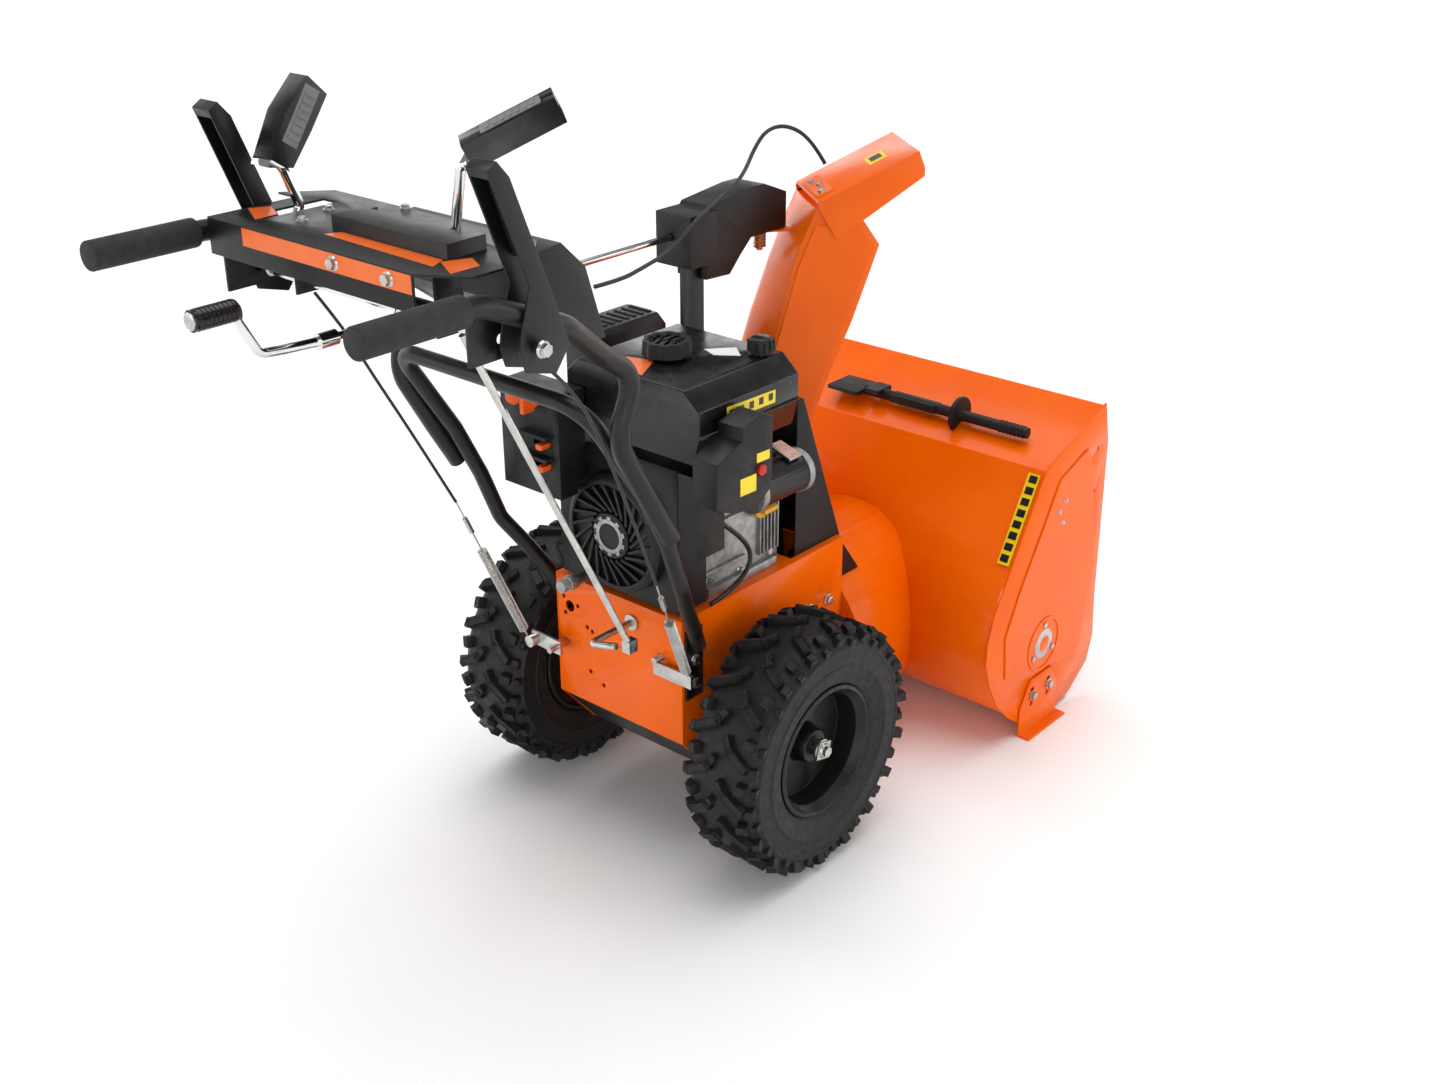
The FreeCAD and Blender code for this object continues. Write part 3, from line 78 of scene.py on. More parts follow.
NODE_BODY = {node: body for body, nodes in record["behaviour"]["bodies"].items() for node in nodes}
print("parts in the frame:", len(NODE_SLOT))


def spot(node, along=0.5, across=0.5, up=0.5, dx=0, dy=0, dz=0):
    """A point at shares of a CAD part's box, moved on by dx, dy and dz millimetres."""
    low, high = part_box(node)
    shares = (along, across, up)
    place = Vector([low[k] + (high[k] - low[k]) * shares[k] for k in range(3)])
    return place + Vector((dx, dy, dz)) * MM


# %% [markdown]
# ## The camera
# The machine is seen from behind the operator's right shoulder.  The camera stands
# 2.4 m from its middle, at 1.48 m height, and looks 25 degrees down.  A 42 mm lens on a
# 36 mm sensor gives a normal view, so upright edges lean in only a little.

# %% Camera
SENSOR_MM = 36.0
LENS_MM = 42.14
CAMERA_PLACE = (-1.643, -1.49475, 1.47806)
TURN_LEFT = math.radians(40.58)
LOOK_DOWN = math.radians(25.23)
camera_data = bpy.data.cameras.new("view_from_the_right_rear")
camera_data.sensor_width = SENSOR_MM
camera_data.lens = LENS_MM
camera = bpy.data.objects.new("view_from_the_right_rear", camera_data)
bpy.context.scene.collection.objects.link(camera)
camera.location = CAMERA_PLACE
camera.rotation_euler = (math.pi / 2 - LOOK_DOWN, 0, TURN_LEFT - math.pi / 2)
bpy.context.scene.camera = camera
print("camera lens", LENS_MM, "mm")

# %% [markdown]
# ## Light and floor
# Large soft lamps give long, soft reflections on the painted sheet and leave the
# black parts readable.  A bright ceiling lights the whole floor evenly, so it is a very
# wide sun lamp; four smaller softboxes add the streaks of light on the painted sheet.

# %% Studio
bpy.context.scene.view_settings.view_transform = "Standard"
world = bpy.data.worlds.new("pale_room")
bpy.context.scene.world = world
world.use_nodes = True
room = world.node_tree.nodes["Background"]
room.inputs["Color"].default_value = (1.0, 1.0, 1.0, 1)
room.inputs["Strength"].default_value = 0.25


def softbox(name, place, target, size, power):
    """A square area lamp that faces a target point."""
    lamp = bpy.data.lights.new(name, "AREA")
    lamp.size = size
    lamp.energy = power
    holder = bpy.data.objects.new(name, lamp)
    bpy.context.scene.collection.objects.link(holder)
    holder.location = place
    aim = Vector(target) - Vector(place)
    holder.rotation_euler = aim.to_track_quat("-Z", "Y").to_euler()


middle = (cad_box[0] + cad_box[1]) / 2
softbox("overhead", (0.2, 0.2, 3.6), middle, 2.4, 6)
softbox("rear_right_fill", (-2.6, -2.4, 2.2), middle, 1.3, 9)
softbox("front_right_key", (1.8, -2.8, 2.4), middle, 1.3, 6)
softbox("left_edge", (-0.6, 3.2, 2.6), middle, 1.2, 6)

ceiling = bpy.data.lights.new("ceiling", "SUN")
ceiling.energy = 2.2
ceiling.angle = math.radians(70)
ceiling_holder = bpy.data.objects.new("ceiling", ceiling)
bpy.context.scene.collection.objects.link(ceiling_holder)
ceiling_holder.rotation_euler = (math.radians(-6), math.radians(8), 0)
print("lamps:", len(bpy.data.lights))

# %% [markdown]
# ## Colours and nodes
# Paint makers give colours as hex codes in sRGB, while shaders want linear light, so
# one function turns one into the other.  A second function adds a shader node with
# its settings and its inputs; an input may be a number, a colour or another output.

# %% Colour and node helpers
def srgb(code):
    """Linear colour from a hex code such as '#f0620c'."""
    parts = [int(code[k:k + 2], 16) / 255 for k in (1, 3, 5)]
    return tuple(p / 12.92 if p <= 0.04045 else ((p + 0.055) / 1.055) ** 2.4 for p in parts) + (1,)


def add(tree, kind, settings=None, inputs=None):
    """One node with its settings; inputs are values to set or outputs to link."""
    node = tree.nodes.new(kind)
    for name, value in (settings or {}).items():
        setattr(node, name, value)
    for name, value in (inputs or {}).items():
        if isinstance(value, bpy.types.NodeSocket):
            tree.links.new(value, node.inputs[name])
        else:
            node.inputs[name].default_value = value
    return node


def new_surface(name, **sockets):
    """An empty material with one Principled shader, and its node tree."""
    material = bpy.data.materials.new(name)
    material.use_nodes = True
    tree = material.node_tree
    tree.nodes.clear()
    shader = add(tree, "ShaderNodeBsdfPrincipled", inputs=sockets)
    add(tree, "ShaderNodeOutputMaterial", inputs={"Surface": shader.outputs["BSDF"]})
    return material, tree, shader


def mottle(tree, shader, socket, low, high, patch_mm, detail=3.0):
    """Vary one socket between two values in soft patches of a real size."""
    coords = add(tree, "ShaderNodeTexCoord")
    noise = add(tree, "ShaderNodeTexNoise", inputs={
        "Vector": coords.outputs["Object"], "Scale": 1 / (patch_mm * MM), "Detail": detail})
    ramp = add(tree, "ShaderNodeValToRGB", inputs={"Fac": noise.outputs["Fac"]})
    for stop, value in zip(ramp.color_ramp.elements, (low, high)):
        stop.color = value if isinstance(value, tuple) else (value, value, value, 1)
    ramp.color_ramp.elements[0].position = 0.35
    ramp.color_ramp.elements[1].position = 0.65
    tree.links.new(ramp.outputs["Color"], shader.inputs[socket])


def relief(tree, shader, grain_mm, depth_mm, kind="ShaderNodeTexNoise", strength=0.5):
    """Raise the surface in grains of a real size and depth."""
    coords = add(tree, "ShaderNodeTexCoord")
    grains = add(tree, kind, inputs={"Vector": coords.outputs["Object"], "Scale": 1 / (grain_mm * MM)})
    height = grains.outputs["Fac"] if "Fac" in grains.outputs else grains.outputs["Distance"]
    bump = add(tree, "ShaderNodeBump", inputs={"Height": height, "Strength": strength,
                                               "Distance": depth_mm * MM})
    tree.links.new(bump.outputs["Normal"], shader.inputs["Normal"])


# %% [markdown]
# ## Powder-coated steel
# Powder coat is a plastic skin baked onto steel.  It is glossy but never quite flat:
# it has an "orange peel" about 3 mm across and a few hundredths deep, which breaks
# up the reflections of the lamps.  A thin clear coat adds a little gloss.

# %% Painted steel
def orange_powder_coat():
    material, tree, shader = new_surface("orange_powder_coat", **{
        "IOR": 1.33, "Specular IOR Level": 0.35, "Coat Weight": 0.05, "Coat Roughness": 0.06})
    mottle(tree, shader, "Base Color", srgb("#ee6000"), srgb("#f26600"), 90)
    mottle(tree, shader, "Roughness", 0.20, 0.27, 40)
    relief(tree, shader, 3.5, 0.02, strength=0.2)
    return material


def black_powder_coat():
    material, tree, shader = new_surface("black_powder_coat", **{
        "IOR": 1.4, "Coat Weight": 0.05, "Coat Roughness": 0.25})
    mottle(tree, shader, "Base Color", srgb("#0b0b0b"), srgb("#111111"), 60)
    mottle(tree, shader, "Roughness", 0.36, 0.44, 30)
    relief(tree, shader, 2.5, 0.03, strength=0.4)
    return material


# %% [markdown]
# ## Moulded plastic
# Hoods and covers are polypropylene moulded against an eroded tool, which leaves a
# matt grain under a millimetre across.  The tank and small knobs come from a smoother
# tool, so they shine more.  The real grain is too fine to show, so it is drawn 1.2 mm.

# %% Plastics
def eroded_black_plastic():
    material, tree, shader = new_surface("eroded_black_plastic", **{"IOR": 1.38})
    mottle(tree, shader, "Base Color", srgb("#101010"), srgb("#161616"), 45)
    mottle(tree, shader, "Roughness", 0.42, 0.52, 20)
    relief(tree, shader, 1.2, 0.05, strength=0.5)
    return material


def smooth_plastic(name, code, roughness):
    material, tree, shader = new_surface(name, **{"IOR": 1.49})
    bright = srgb(code)
    dim = tuple(part * 0.86 for part in bright[:3]) + (1,)
    mottle(tree, shader, "Base Color", dim, bright, 35)
    mottle(tree, shader, "Roughness", roughness, roughness + 0.08, 25)
    relief(tree, shader, 1.5, 0.02, strength=0.3)
    return material


# %% [markdown]
# ## Rubber and foam
# Tyre rubber is black from carbon and almost matt; mould release leaves it slightly
# uneven.  The grips are closed-cell foam: thousands of tiny bubbles cut open, which a
# Voronoi pattern 1.8 mm across imitates.

# %% Rubber
def tyre_compound():
    material, tree, shader = new_surface("tyre_compound", **{"IOR": 1.42})
    mottle(tree, shader, "Base Color", srgb("#0d0d0d"), srgb("#151413"), 14, 5.0)
    mottle(tree, shader, "Roughness", 0.50, 0.66, 10)
    relief(tree, shader, 1.6, 0.12, strength=0.5)
    return material


def grip_foam():
    material, tree, shader = new_surface("grip_foam", **{"IOR": 1.5, "Roughness": 0.78})
    mottle(tree, shader, "Base Color", srgb("#1c1c1d"), srgb("#262627"), 12)
    relief(tree, shader, 1.8, 0.25, "ShaderNodeTexVoronoi", 0.5)
    return material


def extruded_rubber():
    material, tree, shader = new_surface("extruded_rubber", **{"IOR": 1.5})
    mottle(tree, shader, "Base Color", srgb("#101010"), srgb("#181818"), 8)
    mottle(tree, shader, "Roughness", 0.38, 0.5, 8)
    relief(tree, shader, 1.5, 0.03)
    return material


# %% [markdown]
# ## Bare metals
# Bright zinc is electroplated: pale, slightly bluish, with soft clouds of roughness.
# Chrome is polished first, so it mirrors.  Engine castings are aluminium poured into a
# die or sand and then blasted, which gives a grey, pitted, satin skin.

# %% Metals
def bright_zinc():
    material, tree, shader = new_surface("bright_zinc", Metallic=1.0)
    mottle(tree, shader, "Base Color", srgb("#b4b4b0"), srgb("#c8c8c3"), 25)
    mottle(tree, shader, "Roughness", 0.24, 0.33, 18)
    return material


def polished_chrome():
    material, tree, shader = new_surface("polished_chrome", Metallic=1.0)
    mottle(tree, shader, "Base Color", srgb("#d9d9db"), srgb("#e6e6e6"), 30)
    mottle(tree, shader, "Roughness", 0.05, 0.09, 15)
    return material


def blasted_aluminium():
    material, tree, shader = new_surface("blasted_aluminium", Metallic=1.0)
    mottle(tree, shader, "Base Color", srgb("#8f908f"), srgb("#aeafad"), 12, 5.0)
    mottle(tree, shader, "Roughness", 0.42, 0.58, 8)
    relief(tree, shader, 1.4, 0.12, strength=0.6)
    return material


def machined_iron():
    material, tree, shader = new_surface("machined_iron", Metallic=1.0)
    mottle(tree, shader, "Base Color", srgb("#4a4a4b"), srgb("#5e5d5c"), 10)
    mottle(tree, shader, "Roughness", 0.35, 0.5, 8)
    relief(tree, shader, 1.4, 0.06)
    return material


# %% [markdown]
# ## Printed vinyl
# Decals are thin printed vinyl with a satin laminate.  They hold flat ink colours, so
# only the gloss and a little unevenness in the ink change across them.

# %% Vinyl
def printed_vinyl(name, code):
    material, tree, shader = new_surface(name, **{"IOR": 1.46, "Coat Weight": 0.2,
                                                  "Coat Roughness": 0.2})
    ink = srgb(code)
    thin = tuple(part * 0.93 for part in ink[:3]) + (1,)
    mottle(tree, shader, "Base Color", thin, ink, 18)
    mottle(tree, shader, "Roughness", 0.34, 0.42, 12)
    return material


SURFACE = {
    "orange_paint": orange_powder_coat(),
    "black_paint": black_powder_coat(),
    "black_plastic": eroded_black_plastic(),
    "gloss_black": smooth_plastic("satin_black_plastic", "#0c0c0c", 0.22),
    "orange_plastic": smooth_plastic("orange_knob_plastic", "#ec5a0a", 0.30),
    "red_plastic": smooth_plastic("red_button_plastic", "#b81e10", 0.30),
    "yellow_plastic": smooth_plastic("yellow_dipstick_plastic", "#e8a20c", 0.34),
    "tyre_rubber": tyre_compound(),
    "belt_rubber": extruded_rubber(),
    "grip_foam": grip_foam(),
    "cable_jacket": extruded_rubber(),
    "zinc_steel": bright_zinc(),
    "chrome_steel": polished_chrome(),
    "cast_aluminium": blasted_aluminium(),
    "cast_iron": machined_iron(),
    "yellow_vinyl": printed_vinyl("yellow_vinyl", "#f2d40e"),
    "white_vinyl": printed_vinyl("white_vinyl", "#f2f1ec"),
    "black_vinyl": printed_vinyl("black_vinyl", "#141414"),
    "orange_vinyl": printed_vinyl("orange_vinyl", "#ef6a16"),
    "grey_plastic": smooth_plastic("grey_inset_plastic", "#76777a", 0.38),
}
print("surfaces:", len(SURFACE))

# %% [markdown]
# ## The studio floor
# The floor is plain, pale and matt, so it shows only a soft grey shadow.

# %% Floor
floor_mesh = bpy.data.meshes.new("studio_floor")
bm = bmesh.new()
bmesh.ops.create_grid(bm, x_segments=1, y_segments=1, size=30)
bm.to_mesh(floor_mesh)
bm.free()
floor = bpy.data.objects.new("studio_floor", floor_mesh)
bpy.context.scene.collection.objects.link(floor)
floor_surface, floor_tree, floor_shader = new_surface("pale_floor", Roughness=0.8)
mottle(floor_tree, floor_shader, "Base Color", srgb("#fafafa"), srgb("#ffffff"), 400)
floor_mesh.materials.append(floor_surface)
floor.location.z = cad_box[0].z - 0.5 * MM
print("floor at", round(floor.location.z / MM, 1), "mm")

# %% [markdown]
# Seen from low down, the floor would end in a hard line.  A round white wall far away
# closes the studio; it glows softly, so it also lights the upright faces from all sides.

# %% Wall
WALL_RADIUS = 28
WALL_HEIGHT = 9
wall_mesh = bpy.data.meshes.new("studio_wall")
bm = bmesh.new()
bmesh.ops.create_cone(bm, cap_ends=False, segments=96, radius1=WALL_RADIUS, radius2=WALL_RADIUS,
                      depth=WALL_HEIGHT)
bmesh.ops.reverse_faces(bm, faces=bm.faces)
bm.to_mesh(wall_mesh)
bm.free()
wall = bpy.data.objects.new("studio_wall", wall_mesh)
bpy.context.scene.collection.objects.link(wall)
wall_surface, wall_tree, wall_shader = new_surface("glowing_wall", **{
    "Roughness": 0.9, "Emission Color": (1, 1, 1, 1), "Emission Strength": 0.95})
mottle(wall_tree, wall_shader, "Base Color", srgb("#f6f6f6"), srgb("#ffffff"), 900)
wall_mesh.materials.append(wall_surface)
wall.location.z = WALL_HEIGHT / 2
print("wall radius", WALL_RADIUS, "m")


# %% [markdown]
# ## Turning a mesh into a piece
# Real pressed, cast and moulded parts have no knife edges.  A Bevel modifier rounds
# every edge sharper than 35 degrees by a stated radius, and smooth shading with
# hardened normals keeps the flat faces flat.

# %% Piece helpers
SHARP = math.radians(35)


def piece(name, bm, surface, body, edge_mm=0.0, stands_for=(), steps=2):
    """Finish a bmesh as an object: shaded, edges rounded, riding on a body."""
    mesh = bpy.data.meshes.new(name)
    bm.to_mesh(mesh)
    bm.free()
    mesh.shade_smooth()
    mesh.materials.append(SURFACE[surface])
    obj = bpy.data.objects.new(name, mesh)
    bpy.context.scene.collection.objects.link(obj)
    if edge_mm:
        bevel = obj.modifiers.new("rounded_edges", "BEVEL")
        bevel.width = edge_mm * MM
        bevel.segments = steps
        bevel.limit_method = "ANGLE"
        bevel.angle_limit = SHARP
        bevel.harden_normals = True
    else:
        mesh.set_sharp_from_angle(angle=SHARP)
    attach(obj, body)
    if stands_for:
        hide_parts(*stands_for)
    print(name, "on", body, "with", len(mesh.polygons), "faces")
    return obj


def copy_of(node):
    """A merged copy of a CAD part's mesh, with its flat faces made whole."""
    bm = bmesh.new()
    bm.from_mesh(frame["nodes"][node].data)
    bmesh.ops.remove_doubles(bm, verts=bm.verts, dist=0.02 * MM)
    bmesh.ops.dissolve_limit(bm, angle_limit=math.radians(0.6), verts=bm.verts, edges=bm.edges)
    return bm


# %% [markdown]
# ## Small makers
# Most details start from three solids: a block, a turned disc and a flat plate.  Each
# maker adds its solid to a bmesh that may already hold others, so a row of bolts or
# ribs becomes one piece.  A lathe profile and a coil are both made by the spin operator.

# %% Makers
def put(bm, verts, place, towards=(0, 0, 1)):
    """Turn new geometry from +Z to a direction and move it to its place."""
    turn = Vector((0, 0, 1)).rotation_difference(Vector(towards)).to_matrix()
    bmesh.ops.rotate(bm, verts=verts, cent=(0, 0, 0), matrix=turn)
    bmesh.ops.translate(bm, verts=verts, vec=place)


def block(bm, place, size, turn=None):
    """A rectangular block about its middle; its size is in millimetres."""
    made = bmesh.ops.create_cube(bm, size=1)["verts"]
    bmesh.ops.scale(bm, vec=Vector(size) * MM, verts=made)
    if turn:
        bmesh.ops.rotate(bm, verts=made, cent=(0, 0, 0), matrix=turn)
    bmesh.ops.translate(bm, verts=made, vec=place)
    return made


def disc(bm, place, towards, radius, height, sides=32, top=None):
    """A closed cylinder or cone that rises from its place; radii in millimetres."""
    made = bmesh.ops.create_cone(bm, cap_ends=True, segments=sides, radius1=radius * MM,
                                 radius2=(top or radius) * MM, depth=height * MM)["verts"]
    bmesh.ops.translate(bm, verts=made, vec=(0, 0, height * MM / 2))
    put(bm, made, place, towards)
    return made


def plate(bm, corners, thick, towards):
    """A flat plate from its corners in metres, raised by its thickness in millimetres."""
    face = bm.faces.new([bm.verts.new(corner) for corner in corners])
    raised = bmesh.ops.extrude_face_region(bm, geom=[face])["geom"]
    bmesh.ops.translate(bm, verts=only_verts(raised), vec=Vector(towards).normalized() * thick * MM)
    bmesh.ops.recalc_face_normals(bm, faces=bm.faces)


def turned(profile, place, towards, steps=64):
    """A lathe-turned solid from (radius, height) points in millimetres."""
    bm = bmesh.new()
    rings = [bm.verts.new((radius * MM, 0, height * MM)) for radius, height in profile]
    edges = [bm.edges.new(pair) for pair in zip(rings, rings[1:])]
    bmesh.ops.spin(bm, geom=rings + edges, cent=(0, 0, 0), axis=(0, 0, 1), angle=2 * math.pi,
                   steps=steps, use_merge=True)
    bmesh.ops.remove_doubles(bm, verts=bm.verts, dist=0.01 * MM)
    bmesh.ops.recalc_face_normals(bm, faces=bm.faces)
    put(bm, bm.verts, place, towards)
    return bm


def bolt(bm, place, towards, size):
    """A flanged hexagon head that stands on a surface."""
    disc(bm, place, towards, 1.15 * size, 0.3 * size, 24, 0.95 * size)
    disc(bm, Vector(place) + Vector(towards).normalized() * 0.3 * size * MM, towards,
         0.88 * size, 0.5 * size, 6, 0.84 * size)


def coil(bm, start, end, radius, wire, turns):
    """A helical spring of round wire between two points."""
    run = end - start
    sides = 8
    per_turn = 14
    ring = bmesh.ops.create_circle(bm, segments=sides, radius=wire / 2 * MM)["verts"]
    bmesh.ops.rotate(bm, verts=ring, cent=(0, 0, 0), matrix=Matrix.Rotation(math.pi / 2, 3, "X"))
    bmesh.ops.translate(bm, verts=ring, vec=(radius * MM, 0, 0))
    edges = list({edge for vert in ring for edge in vert.link_edges})
    steps = int(turns * per_turn)
    before = set(bm.verts) - set(ring)
    bmesh.ops.spin(bm, geom=ring + edges, cent=(0, 0, 0), axis=(0, 0, 1), angle=2 * math.pi * turns,
                   steps=steps, dvec=(0, 0, run.length / steps))
    bmesh.ops.holes_fill(bm, edges=[edge for edge in bm.edges if edge.is_boundary], sides=sides)
    bmesh.ops.recalc_face_normals(bm, faces=bm.faces)
    put(bm, [vert for vert in bm.verts if vert not in before], start, run)


def swept(points, radius):
    """A round wire or cable through points, as a bmesh; the curve is smooth."""
    curve = bpy.data.curves.new("route", "CURVE")
    curve.dimensions = "3D"
    curve.bevel_depth = radius * MM
    curve.bevel_resolution = 3
    curve.use_fill_caps = True
    spline = curve.splines.new("NURBS")
    spline.points.add(len(points) - 1)
    for knot, point in zip(spline.points, points):
        knot.co = tuple(Vector(point)) + (1,)
    spline.order_u = 3
    spline.use_endpoint_u = True
    holder = bpy.data.objects.new("route", curve)
    bpy.context.scene.collection.objects.link(holder)
    mesh = bpy.data.meshes.new_from_object(holder)
    bm = bmesh.new()
    bm.from_mesh(mesh)
    bmesh.ops.remove_doubles(bm, verts=bm.verts, dist=0.01 * MM)
    bmesh.ops.recalc_face_normals(bm, faces=bm.faces)
    bpy.data.objects.remove(holder)
    bpy.data.curves.remove(curve)
    bpy.data.meshes.remove(mesh)
    return bm


def everything(bm):
    """All vertices, edges and faces of a bmesh in one list."""
    return bm.verts[:] + bm.edges[:] + bm.faces[:]


def only_verts(items):
    """The vertices among the geometry that an operator returns."""
    return [item for item in items if isinstance(item, bmesh.types.BMVert)]


def around(bm, geometry, count, centre, axis):
    """Copy geometry evenly round an axis, the original included."""
    bmesh.ops.spin(bm, geom=geometry, cent=centre, axis=axis, use_duplicate=True,
                   angle=2 * math.pi * (count - 1) / count, steps=count - 1)


def half_of(node, point, normal):
    """The part of a CAD solid on the side of a plane that its normal points away from."""
    bm = copy_of(node)
    cut = bmesh.ops.bisect_plane(bm, geom=everything(bm), plane_co=point, plane_no=normal,
                                 clear_outer=True)["geom_cut"]
    bmesh.ops.holes_fill(bm, edges=[edge for edge in cut if isinstance(edge, bmesh.types.BMEdge)])
    return bm


# %% [markdown]
# ## Tyres
# A snow tyre carries tall blocks in a chevron.  Each pitch has a long slanted block, one
# by the middle, one towards the edge and two on the shoulder, with a hollow moulded in
# the top of each.  One pitch is modelled at the top of the tyre and spun into 18; the other hand
# is the same pitch mirrored and shifted by half a step.

# %% Tyres
PITCHES = 18


def tread_block(bm, place, size, yaw, tip=0.0):
    """One tread block with a hollow in its top."""
    turn = Matrix.Rotation(math.radians(yaw), 3, "Z") @ Matrix.Rotation(math.radians(tip), 3, "X")
    made = block(bm, Vector(place) * MM, size, turn)
    faces = {face for vert in made for face in vert.link_faces}
    bmesh.ops.recalc_face_normals(bm, faces=list(faces))
    top = max(faces, key=lambda face: face.calc_center_median().z)
    bmesh.ops.inset_region(bm, faces=[top], thickness=min(size[:2]) * 0.22 * MM)
    bmesh.ops.translate(bm, verts=top.verts, vec=(0, 0, -3 * MM))


def tread_pitch(bm, crown, half):
    """The blocks of one pitch on one side, at the top of the tyre."""
    tread_block(bm, (-3, half * 0.50, crown - 7.5), (14, half * 0.74, 14), 30)
    tread_block(bm, (13, half * 0.20, crown - 6.5), (25, 11, 12), -34)
    tread_block(bm, (21, half * 0.74, crown - 10), (17, 16, 14), 12, -22)
    tread_block(bm, (-15, half * 0.90, crown - 20), (15, 12, 24), 0, -24)
    tread_block(bm, (15, half * 0.95, crown - 27), (12, 8, 20), 0, -14)


def tyre(side_name):
    """A carcass turned on the lathe, with its tread blocks, on the wheel's own axle."""
    low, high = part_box("tyre_" + side_name)
    centre = (low + high) / 2
    crown = (high.z - low.z) / 2 / MM - 0.8
    half = (high.y - low.y) / 2 / MM
    bead = crown - 91
    profile = [(bead, -half + 13), (bead + 6, -half + 8), (bead + 12, -half + 5), (bead + 30, -half + 1),
               (bead + 31, -half), (bead + 34, -half), (bead + 35, -half + 1), (crown - 34, -half + 1),
               (crown - 33, -half), (crown - 30, -half), (crown - 28, -half + 2), (crown - 18, -half + 8),
               (crown - 12, -half + 20), (crown - 10.5, -half + 40), (crown - 10, 0)]
    profile += [(radius, -height) for radius, height in reversed(profile[:-1])] + [profile[0]]
    bm = turned(profile, (0, 0, 0), (0, 1, 0), 96)
    blocks = bmesh.new()
    for hand in (1, -1):
        one = bmesh.new()
        tread_pitch(one, crown, half - 1)
        if hand < 0:
            bmesh.ops.scale(one, vec=(1, -1, 1), verts=one.verts)
            bmesh.ops.rotate(one, verts=one.verts, cent=(0, 0, 0),
                             matrix=Matrix.Rotation(math.pi / PITCHES, 3, "Y"))
            bmesh.ops.recalc_face_normals(one, faces=one.faces)
        around(one, everything(one), PITCHES, (0, 0, 0), (0, 1, 0))
        part = bpy.data.meshes.new("tread_half")
        one.to_mesh(part)
        one.free()
        blocks.from_mesh(part)
        bpy.data.meshes.remove(part)
    for made, name, stands in ((bm, "tyre_carcass_", ("tyre_" + side_name,)), (blocks, "tyre_tread_", ())):
        bmesh.ops.translate(made, verts=made.verts, vec=centre)
        piece(name + side_name, made, "tyre_rubber", "axle", 1.4 if made is blocks else 0.0, stands, 1)
    print("tyre", side_name, "radius", round(crown, 1), "mm")


tyre("right")
tyre("left")

# %% [markdown]
# ## Hubs and valves
# A square washer and a flanged bolt hold each wheel on its axle, and a rubber valve
# stands in the dish of the rim.

# %% Hubs
hubs = bmesh.new()
valves = bmesh.new()
for side in (-1, 1):
    end = spot("drive_axle", across=0.5 + 0.5 * side)
    end.z = spot("tyre_right").z
    end.x = 0
    block(hubs, end + Vector((0, side * 1.5, 0)) * MM, (27, 3, 27), Matrix.Rotation(0.25, 3, "Y"))
    bolt(hubs, end + Vector((0, side * 3, 0)) * MM, (0, side, 0), 10)
    root = Vector((-62, end.y / MM - side * 40, spot("tyre_right").z / MM + 30)) * MM
    disc(valves, root, (-0.2, side, 0.1), 4.5, 22, 16, 3)
piece("hub_washers", hubs, "zinc_steel", "axle", 0.6)
piece("tyre_valves", valves, "belt_rubber", "axle", 0.5)

# %% [markdown]
# ## Lever knobs
# The shift and deflector levers are chromed rods pushed into faceted black knobs.  The
# CAD solid is cut in two by a plane across the rod: below it stays chrome, above it
# becomes black plastic, with a ribbed grey pad let into the broad faces.

# %% Knobs
def lever_knob(node, foot, direction, broad, half_mm, name):
    """Split a lever at the foot of its knob, and dress both halves."""
    direction = Vector(direction).normalized()
    body = NODE_BODY[node]
    piece(name + "_rod", half_of(node, foot, direction), "chrome_steel", body, 0.4, (node,))
    piece(name + "_knob", half_of(node, foot, -direction), "gloss_black", body, 4.5, (), 3)
    pads = bmesh.new()
    for side in (1, -1):
        out = Vector(broad).normalized() * side
        across = direction.cross(out)
        frame_of_pad = Matrix((direction, across, out)).transposed()
        for share in range(7):
            place = foot + direction * (34 + 9 * share) * MM + out * (half_mm + 1.6) * MM
            block(pads, place, (5, 15, 2.2), frame_of_pad)
        block(pads, foot + direction * 61 * MM + out * half_mm * MM, (72, 22, 2.6), frame_of_pad)
    piece(name + "_pads", pads, "grey_plastic", body, 0.5)


shift_foot = spot("shift_lever", 0, 0.5, 1, dx=17, dz=-94)
shift_foot.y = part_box("shift_lever")[1].y - 17 * MM
lever_knob("shift_lever", shift_foot, (0.56, 0, 0.83), (0, 1, 0), 17, "shift")
aim_foot = Vector((-446, -109, 1084)) * MM
aim_way = Vector((0.66, -0.58, 0.42))
aim_turn = Vector((1, 0, 0)).rotation_difference(aim_way).to_matrix()
lever_knob("deflector_lever", aim_foot, aim_way, aim_turn @ Vector((0, 0, 1)), 15, "deflector")

# %% [markdown]
# ## Chute crank
# The crank is a bright bent rod that ends in a ribbed black grip with a metal cap.

# %% Crank
RIB_PITCH = 5.6
grip_start = spot("chute_crank", 0, 0.5, 1, dx=60)
piece("crank_rod", half_of("chute_crank", grip_start, (-1, 0, 0)), "chrome_steel", "chute_crank", 0.0,
      ("chute_crank",))
ribs = [(0, 0), (12.5, 0)]
for rib in range(9):
    ribs += [(13.2, 3 + RIB_PITCH * rib), (13.2, 6 + RIB_PITCH * rib),
             (12.2, 6.6 + RIB_PITCH * rib), (12.2, 8 + RIB_PITCH * rib)]
ribs += [(13, 56), (0, 56)]
grip_centre = spot("chute_crank", 0, 0.5, 1, dx=60, dz=-13.2)
grip_centre.y = spot("pedestal_post", 0.5, 0.5).y
piece("crank_grip", turned(ribs, grip_centre, (-1, 0, 0)), "gloss_black", "chute_crank")
cap = turned([(0, 56), (10.5, 56), (10.5, 58.4), (8, 59.6), (0, 59.6)], grip_centre, (-1, 0, 0))
piece("crank_grip_end", cap, "zinc_steel", "chute_crank")
